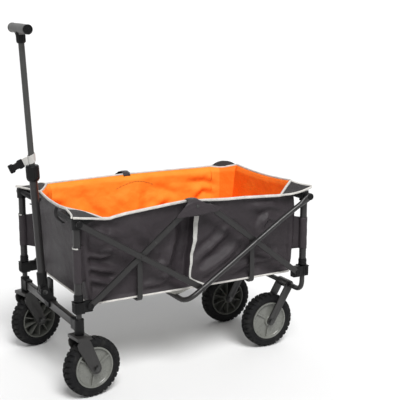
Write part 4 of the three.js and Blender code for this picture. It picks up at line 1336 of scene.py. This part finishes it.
def row_lengths(grid):
    return np.concatenate([[0], np.cumsum(np.linalg.norm(np.diff(grid, axis=0), axis=1))])


def flat_place(grid):
    """Where each point of a cloth grid lies when it is flat, in metres."""
    rows, columns = grid.shape[:2]
    across = row_lengths(grid[rows // 2])
    upward = np.stack([row_lengths(grid[:, j]) for j in range(columns)], axis=1)
    flat = np.stack([np.broadcast_to(across, (rows, columns)), upward, upward * 0], axis=-1)
    return flat.reshape(-1, 3)


def folds_with_basket(obj):
    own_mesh(obj)


def folds_to_post(obj, end):
    """Gives a front gusset a mesh of its own."""
    if end == "front":
        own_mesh(obj)


def cloth(name, grid, look, body, thick, wrap=False, with_basket=False):
    """A sheet of cloth through a grid of points measured from the middle of the wagon."""
    grid = grid + np.array((0, MID_Y, 0))
    rows, columns = grid.shape[:2]
    obj = new_object(name, grid.reshape(-1, 3), grid_faces(rows, columns, False, wrap), look)
    store_cloth(obj, flat_place(grid))
    fit(obj, body)
    solid = obj.modifiers.new("thickness", "SOLIDIFY")
    solid.thickness = thick
    solid.offset = -1
    if with_basket:
        folds_with_basket(obj)
    return obj


TAPE_FACET = 0.0015               # width of one facet of a tape on its weave


def tape(name, runs, look, body, with_basket=False, sides=12):
    """Strips of tape or piping: each run is (path, wide, width, thick, closed)."""
    shells, flat = [], []
    for path, wide, width, thick, closed in runs:
        path = [Vector(p) + Vector((0, MID_Y, 0)) for p in path]
        shell = sweep(path, wide, width, thick, closed, 2.6, sides)
        rings = shell[0].reshape(-1, sides, 3)
        along = np.repeat(row_lengths(rings.mean(axis=1)), sides)
        around = np.tile(np.arange(sides) * TAPE_FACET, len(rings))
        flat.append(np.stack([along, around, along * 0], axis=1))
        shells.append(shell)
    obj = new_object(name, *joined(shells), look)
    store_cloth(obj, np.vstack(flat))
    fit(obj, body, 60)
    if with_basket:
        folds_with_basket(obj)
    return obj


SHELL_TOP, SHELL_TOP_Z = shell_top()
# The middle fold of a wall: its depth, then how far before the seam it starts, is full, ebbs
# and ends.
SHELL_FOLD = (0.029, 0.0, 0.007, 0.026, 0.078)
LINER_FOLD = (0.033, -0.040, 0.002, 0.034, 0.110)
OUTER_WALL = wall_surface(BOTTOM, SHELL_TOP, SHELL_TOP_Z, 0.0, SHELL_FOLD, 1)
INNER_WALL = wall_surface(LINER_BOTTOM, TOP, TOP_Z, 0.0055, LINER_FOLD, 1)
UPPERS = "rear_uppers"


def wall_x(wall, side, y, z):
    """How far out a wall is at a place on one of its long sides."""
    columns = np.flatnonzero((LEAN < 0.01) & (TOP[:, 0] * side > 0))
    patch = wall[:, columns]
    distance = (patch[..., 1] - y) ** 2 + (patch[..., 2] - z) ** 2
    nearest = np.argsort(distance, axis=None)[:6]
    weight = 1 / (distance.ravel()[nearest] + 1e-7)
    return float((patch[..., 0].ravel()[nearest] * weight).sum() / weight.sum())


def build_walls():
    shell = cloth("basket_shell", OUTER_WALL, "fabric", UPPERS, 0.0012,
                  True, True)
    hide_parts("basket")
    lining = cloth("basket_liner", INNER_WALL, "liner", UPPERS, 0.0010,
                   True, True)
    # The end walls of the lining get the redder, darker liner copy: painted shade and bounce light.
    lining.data.materials.append(MATERIALS["shaded_liner_end"])
    at_end = np.append(LEAN > 0.3, LEAN[0] > 0.3)
    columns = len(LEAN)
    index = np.arange(len(lining.data.polygons)) % columns
    chosen = (at_end[index] & at_end[index + 1]).astype(np.int32)
    lining.data.polygons.foreach_set("material_index", chosen)


def build_stitching():
    """A sewn arc on the lining of each long wall, in short stitches of three points."""
    arc = [(-0.068 + 0.140 * t, 0.503 + 0.020 * math.sin(math.pi * t)) for t in np.linspace(0, 1, 40)]
    for side, name in ((1, "left"), (-1, "right")):
        runs = []
        for start in range(0, len(arc) - 2, 3):
            path = []
            for y, z in arc[start:start + 3]:
                path.append((wall_x(INNER_WALL, side, y, z) - side * 0.0014, y, z))
            runs.append((path, (0, 0, 1), 0.0016, 0.0009, False))
        tape(f"liner_stitches_{name}", runs, "stitch", UPPERS, True, 8)


PANEL_COLUMNS = 61
PAD_FOOT = 0.2757
PAD_EDGE_Z = 0.2765               # top of the pad along its border
QUILT_START, QUILT_PITCH = -0.334, 0.1113     # seams between the pad's panels, along y
PIPING_Z = 0.2738


def panel(half_y, half_x, rows, margins):
    """A flat grid under the basket, with how far each point is in from the panel's edge."""
    lengths = np.linspace(-half_y, half_y, rows)
    widths = np.linspace(-half_x, half_x, PANEL_COLUMNS)
    y, x = np.meshgrid(lengths, widths, indexing="ij")
    edge_x = smooth(half_x, half_x - margins[0], np.abs(x))
    edge_y = smooth(half_y, half_y - margins[1], np.abs(y))
    return x, y, np.minimum(edge_x, edge_y)


def closed_pad(top, under):
    """Points and faces of a pad between two grids, closed round their borders."""
    rows, columns = top.shape[:2]
    count = rows * columns
    faces = [tuple(reversed(f)) for f in grid_faces(rows, columns)]
    faces += [tuple(i + count for i in f) for f in grid_faces(rows, columns)]
    border = list(range(columns)) + [r * columns + columns - 1 for r in range(1, rows)]
    border += [count - 1 - i for i in range(1, columns)]
    border += [r * columns for r in range(rows - 2, 0, -1)]
    faces += [(a, b, b + count, a + count) for a, b in zip(border, border[1:] + border[:1])]
    return np.stack([top, under]).reshape(-1, 3), faces


def build_floor():
    """The quilted pad on the basket's floor, with six soft panels along it."""
    x, y, edge = panel(0.3425, 0.2145, 121, (0.0115, 0.0125))
    quilt = np.abs(np.sin(np.pi * (y - QUILT_START) / QUILT_PITCH)) ** 0.45
    ripple = fractal(np.stack([x, y, x * 0], axis=-1), 14.0, 5)
    top = PAD_EDGE_Z + edge * (0.0045 + 0.0045 * quilt) + 0.0012 * ripple * edge
    under = np.full_like(top, PAD_FOOT)
    points, faces = closed_pad(*(np.stack([x, y + MID_Y, z], axis=-1) for z in (top, under)))
    pad = new_object("floor_pad", points, faces, "liner")
    store_cloth(pad, points * (1, 1, 0))
    fit(pad, UPPERS, 70)
    folds_with_basket(pad)


def build_underside():
    """The basket's pale bottom cloth, which droops except over the two hangers."""
    x, y, edge = panel(0.341, 0.2195, 101, (0.0135, 0.016))
    ripple = fractal(np.stack([x, y, x * 0], axis=-1), 10.0, 8)
    droop = 0.016 * bell(y, -0.050, 0.034) + 0.0015 + 0.0014 * ripple
    over_straps = smooth(0.018, 0.034, np.abs(np.abs(y) - CROSS_PIN_Y))
    z = BASKET_BOTTOM - edge * np.maximum(droop, 0) * (0.3 + 0.7 * over_straps)
    cloth("basket_underside", np.stack([x, y, z], axis=-1), "underside", UPPERS, 0.0010,
          False, True)


def rim_line():
    """The line of the rim's binding, a little outside the lining."""
    ahead = np.roll(TOP, -1, 0) - np.roll(TOP, 1, 0)
    ahead /= np.linalg.norm(ahead, axis=1)[:, None]
    outward = np.stack([ahead[:, 1], -ahead[:, 0]], axis=1)
    level = 0.0005 + 0.0006 * fractal(np.stack([TOP[:, 0], TOP[:, 1], TOP_Z], axis=-1), 18.0, 3)
    place = TOP + outward * 0.0020
    return np.stack([place[:, 0], place[:, 1], TOP_Z + level], axis=-1)


def gusset_edges(end, sign, side):
    """The side edge and the end edge of a corner gusset, from the rim out to its tip."""
    rim_z = float(np.interp(sign * SIDE_END, *zip(*(NEAR_RIM if side > 0 else FAR_RIM))))
    tip_y, tip_z = TIP[end, side]
    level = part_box(f"{end}_top_bracket_left")[1].z
    by_side = [(side * RIM_X, sign * SIDE_END, rim_z), (side * 0.232, sign * 0.315, rim_z + 0.003),
               (side * 0.2405, sign * 0.329, max(level - 0.004, rim_z)),
               (side * 0.2430, sign * 0.368, level + 0.001), (side * TIP_X, tip_y, tip_z)]
    place = 1 if side > 0 else 0
    end_y, end_z = RIM_END[end][place], END_RIM_Z[end][place]
    middle = ((end_y + tip_y) / 2 - sign * 0.004, (end_z + tip_z) / 2 - 0.003)
    by_end = [(side * END_HALF[end], end_y, end_z), (side * 0.205, *middle),
              (side * TIP_X, tip_y, tip_z)]
    return resample(by_side, GUSSET_ROWS + 2), resample(by_end, GUSSET_ROWS + 2)


def resample(corners, count):
    """Evenly spaced points along a smoothed line through the corners."""
    line_points = np.array([tuple(p) for p in corners])
    for _ in range(3):
        cut = [line_points[:1]]
        for a, b in zip(line_points, line_points[1:]):
            cut.append(np.array([a * 0.75 + b * 0.25, a * 0.25 + b * 0.75]))
        cut.append(line_points[-1:])
        line_points = np.vstack(cut)
    length = row_lengths(line_points)
    wanted = np.linspace(0, length[-1], count)
    return np.stack([np.interp(wanted, length, line_points[:, k]) for k in range(3)], axis=1)


GUSSET_RISE = {("front", "left"): 0.0125, ("front", "right"): 0.012, ("rear", "left"): 0.001,
               ("rear", "right"): 0.022}
GUSSET_ROWS, GUSSET_COLUMNS = 22, 15               # short of the tip, where the edges meet


def gusset_grid(outer, inner, rise, bracket_top):
    """Net between two edges: it humps up by a rise, and clears the bracket under it."""
    share = np.linspace(0, 1, GUSSET_COLUMNS)[None, :, None]
    grid = outer[:GUSSET_ROWS, None] * (1 - share) + inner[:GUSSET_ROWS, None] * share
    x, y, z = (grid[..., k] for k in range(3))
    out = np.linspace(0, 1, GUSSET_ROWS)[:, None]
    sag = -rise * np.sin(np.pi * share[..., 0]) ** 0.7 * smooth(0, 0.2, out) * (1 - out)
    sag = sag - 0.0016 * fractal(grid, 40.0, 21)
    over = bell(np.abs(x), POST_X, 0.009) * smooth(0.318, 0.330, np.abs(y))
    grid[..., 2] = np.maximum(z - sag, z - sag + over * (bracket_top + 0.0022 - z + sag))
    return grid


def build_gussets():
    bracket_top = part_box("front_top_bracket_left")[1].z
    for end, sign, hand, side in CORNERS:
        outer, inner = gusset_edges(end, sign, side)
        grid = gusset_grid(outer, inner, GUSSET_RISE[end, hand], bracket_top)
        if sign * side > 0:
            grid = grid[:, ::-1]
        net = cloth(f"gusset_{end}_{hand}", grid, "net", f"{end}_uppers", 0.0008)
        folds_to_post(net, end)
        runs = [(edge[:-1], (0, 0, 1), 0.0068, 0.0052, False) for edge in (outer, inner)]
        edging = tape(f"gusset_edge_{end}_{hand}", runs, "tape", f"{end}_uppers")
        folds_to_post(edging, end)


def build_piping():
    """The rim's binding, the bottom piping, and the pale tape down each middle fold."""
    bottom = np.stack([BOTTOM[:, 0], BOTTOM[:, 1], np.full(len(BOTTOM), PIPING_Z)], axis=-1)
    tape("rim_binding", [(rim_line(), (0, 0, 1), 0.0088, 0.0062, True)], "tape", UPPERS, True)
    tape("bottom_piping", [(bottom, (0, 0, 1), 0.0058, 0.0040, True)], "tape", UPPERS, True)
    seam = resample([(0, y, z) for z, y in reversed(SEAM)], 60)[4:]
    width = np.interp(seam[:, 2], (0.272, 0.30, 0.36, 0.42, 0.49), (0.005, 0.006, 0.009, 0.013, 0.017))
    for hand, side in SIDES:
        path = []
        for _, y, z in seam:
            out = abs(wall_x(OUTER_WALL, side, y + 0.006, z)) + 0.0008
            path.append((side * min(out, BASKET_X + 0.0012), y + 0.003, z))
        tape(f"side_binding_{hand}", [(path, (0, 1, 0.2), width, 0.0024, False)], "webbing",
             UPPERS, True)


FLAP_PROFILE = [(0.2630, 0.505), (0.2634, 0.518), (0.2632, 0.532), (0.2612, 0.5440),
                (0.2560, 0.5510), (0.2460, 0.5545), (0.2350, 0.5545), (0.2245, 0.5530),
                (0.2180, 0.5505), (0.2150, 0.5460), (0.2140, 0.5415)]
FLAP_LEFT = [(0.505, -0.080), (0.509, -0.084), (0.520, -0.0725), (0.542, -0.051), (0.552, -0.038)]
FLAP_RIGHT = [(0.505, -0.020), (0.507, 0.017), (0.511, 0.053), (0.520, 0.071), (0.531, 0.050),
              (0.541, 0.014), (0.549, 0.001), (0.552, -0.006)]


RIM_TURN_X = 0.2545               # where a flap turns over the rim


def flap_grid(side):
    """Cloth over a top hub: a low mound outside, and a narrow tongue over the rim."""
    profile = resample([(x, 0, z) for x, z in FLAP_PROFILE], 52)
    share = np.linspace(0, 1, 57)
    grid = np.zeros((len(profile), len(share), 3))
    for i, (x, _, z) in enumerate(profile):
        outside = x > RIM_TURN_X
        level = z if outside else 0.553
        narrow = 0.004 * float(smooth(0.245, 0.225, x))
        left = np.interp(level, *zip(*FLAP_LEFT)) + narrow
        right = np.interp(level, *zip(*FLAP_RIGHT)) - narrow
        y = left + (right - left) * share
        edge = np.abs(2 * share - 1) ** 3
        seams = 0
        if outside:
            for size in (0.72, 1.0):
                oval = np.hypot((y + 0.013) / 0.068, (z - 0.497) / 0.050) - size
                seams = seams + 0.0011 * bell(oval, 0, 0.035)
        grid[i, :, 0] = side * (x - 0.0035 * edge * outside + seams)
        grid[i, :, 1] = y
        grid[i, :, 2] = z - 0.002 * edge
    grid[..., 0] += side * 0.0010 * fractal(grid, 30.0, 11) * smooth(0.545, 0.52, grid[..., 2])
    return grid[:, ::-1] if side < 0 else grid


def build_flaps():
    for hand, side in SIDES:
        cloth(f"hub_flap_{hand}", flap_grid(side), "fabric", "top_hubs", 0.0013)
        head = [rivet(0.2638, -0.015, 0.534, 0.0, side, 0.0048, 0.0022)]
        piece(f"flap_rivet_{hand}", head, "dark_steel", "top_hubs")


LOOP = [(0.070, -0.3790, 0.5320), (0.072, -0.3840, 0.5200), (0.084, -0.3875, 0.5100),
        (0.106, -0.3880, 0.5040), (0.140, -0.3860, 0.5010)]


def build_loops():
    """A dark strap loop below the front rim, beside the end of each bracket's arm."""
    for hand, side in SIDES:
        path = resample([(side * x, y, z) for x, y, z in LOOP], 20)
        tape(f"front_loop_{hand}", [(path, (0, 1, 0), 0.010, 0.0022, False)], "black_tape", UPPERS,
             True)


TAB_HEIGHTS = np.linspace(0.346, 0.448, 24)
WEB_COLUMNS = 14
TRIM_R = 0.0137


def tab_sleeve(x, y, side, corner):
    """A ring of cloth round a post, which starts at the corner where its web leaves it."""
    turns = np.linspace(0, 2 * math.pi, 41)[:-1] + corner
    radius = 0.0124 + 0.0004 * np.sin(3 * turns)[None] + 0.0003 * np.sin(TAB_HEIGHTS * 160)[:, None]
    ring = np.stack([
        side * (x + radius * np.cos(turns)), y + radius * np.sin(turns),
        np.broadcast_to(TAB_HEIGHTS[:, None], radius.shape),
    ], axis=-1)
    return ring[:, ::-1] if side < 0 else ring


def tab_web(start, stop, side):
    """The short cloth between the basket's corner and the sleeve, a little taller at the basket."""
    rows = len(TAB_HEIGHTS)
    reach = np.linspace(0, 1, WEB_COLUMNS)[None, :, None]
    web = np.broadcast_to(start * (1 - reach) + stop * reach, (rows, WEB_COLUMNS, 3)).copy()
    slack = np.sin(np.pi * reach[..., 0]) * np.sin(TAB_HEIGHTS * 90)[:, None]
    web[..., 0] += side * 0.0016 * slack
    spread = 0.004 * (1 - reach[..., 0]) * np.linspace(-1, 1, rows)[:, None]
    web[..., 2] = TAB_HEIGHTS[:, None] + spread
    return web


def build_tabs():
    """Cloth tabs that hold the basket's corners to the posts."""
    for end, sign, hand, side in CORNERS:
        x, y = POST_X, sign * HALF_BASE
        held_x, held_y = BASKET_X - 0.014, BASKET_Y + 0.004
        corner = math.atan2(sign * (held_y - HALF_BASE), held_x - POST_X)
        cloth(f"tab_sleeve_{end}_{hand}", tab_sleeve(x, y, side, corner), "fabric",
              f"{end}_uppers", 0.0011, True)
        if end == "front":
            arc = [(side * (x + TRIM_R * math.cos(a)), y + TRIM_R * math.sin(a), 0.4485)
                   for a in np.linspace(math.radians(-150), math.radians(-10), 24)]
            tape(f"tab_trim_{hand}", [(arc, (0, 0, 1), 0.0042, 0.0012, False)], "webbing",
                 "front_uppers")
        start = np.array((side * held_x, sign * held_y, 0))
        stop = np.array((side * x, y, 0)) + 0.0116 * np.array(
            (side * math.cos(corner), math.sin(corner), 0))
        cloth(f"tab_web_{end}_{hand}", tab_web(start, stop, side), "fabric", UPPERS, 0.0024,
              False, True)


# ---- Floor, light and background -----------------------------------------------------------


KEY_AZIMUTH = math.radians(80)
KEY_ELEVATION = math.radians(50)
KEY_STRENGTH = 3.6
KEY_SPREAD = math.radians(28)
FLOOR_HALF = 90
FLOOR_DROP = 0.0005
BACKDROP_TILT = 0.25
BACKDROP_FADE = (0.45, 0.85)      # how squarely a direction faces the backdrop, where it fades
BACKDROP_LIGHT = (0.34, 1.04)     # brightness of the room and of the backdrop


def build_stage():
    corners = [(x * FLOOR_HALF, y * FLOOR_HALF, -FLOOR_DROP)
               for x, y in ((-1, -1), (1, -1), (1, 1), (-1, 1))]
    new_object("studio_floor", corners, [(0, 1, 2, 3)], "floor")
    make_world()
    sun = bpy.data.lights.new("key", "SUN")
    sun.energy = KEY_STRENGTH
    sun.angle = KEY_SPREAD
    lamp = bpy.data.objects.new("key", sun)
    lamp.rotation_mode = "QUATERNION"
    lamp.rotation_quaternion = (-direction(KEY_AZIMUTH, KEY_ELEVATION)).to_track_quat("-Z", "Y")
    bpy.context.scene.collection.objects.link(lamp)


def make_world():
    """A pale room with a white backdrop on the side the camera looks at."""
    world = bpy.data.worlds.new("studio")
    world.use_nodes = True
    tree = world.node_tree
    background = tree.nodes["Background"]
    background.inputs["Strength"].default_value = 1.0
    outward = tree.nodes.new("ShaderNodeTexCoord").outputs["Generated"]
    facing = tree.nodes.new("ShaderNodeVectorMath")
    facing.operation = "DOT_PRODUCT"
    tree.links.new(outward, facing.inputs[0])
    facing.inputs[1].default_value = (-math.sin(CAMERA_AZIMUTH), math.cos(CAMERA_AZIMUTH),
                                      BACKDROP_TILT)
    fade = tree.nodes.new("ShaderNodeMapRange")
    tree.links.new(facing.outputs["Value"], fade.inputs["Value"])
    for prefix, limits in (("From", BACKDROP_FADE), ("To", BACKDROP_LIGHT)):
        fade.inputs[f"{prefix} Min"].default_value = limits[0]
        fade.inputs[f"{prefix} Max"].default_value = limits[1]
    tree.links.new(fade.outputs["Result"], background.inputs["Color"])
    bpy.context.scene.world = world


def studio_floor():
    look = Look("studio_floor", Roughness=0.9)
    at = look.place()
    return look.wear(look.mix(look.noise(at, 3.0), (0.77, 0.77, 0.77, 1), (0.79, 0.79, 0.79, 1)))


MATERIALS["floor"] = studio_floor()
build_stage()
for build in (
    build_posts, build_legs, build_lower_brackets, build_bars, build_crossing_tube, build_hangers,
    build_wheels, build_handle, build_strap, build_grip, keep_hard_parts, build_stem_washers,
    build_walls, build_floor, build_underside, build_piping, build_gussets, build_flaps,
    build_loops, build_stitching, build_tabs,
):
    build()
bpy.context.scene.view_settings.view_transform = "Standard"
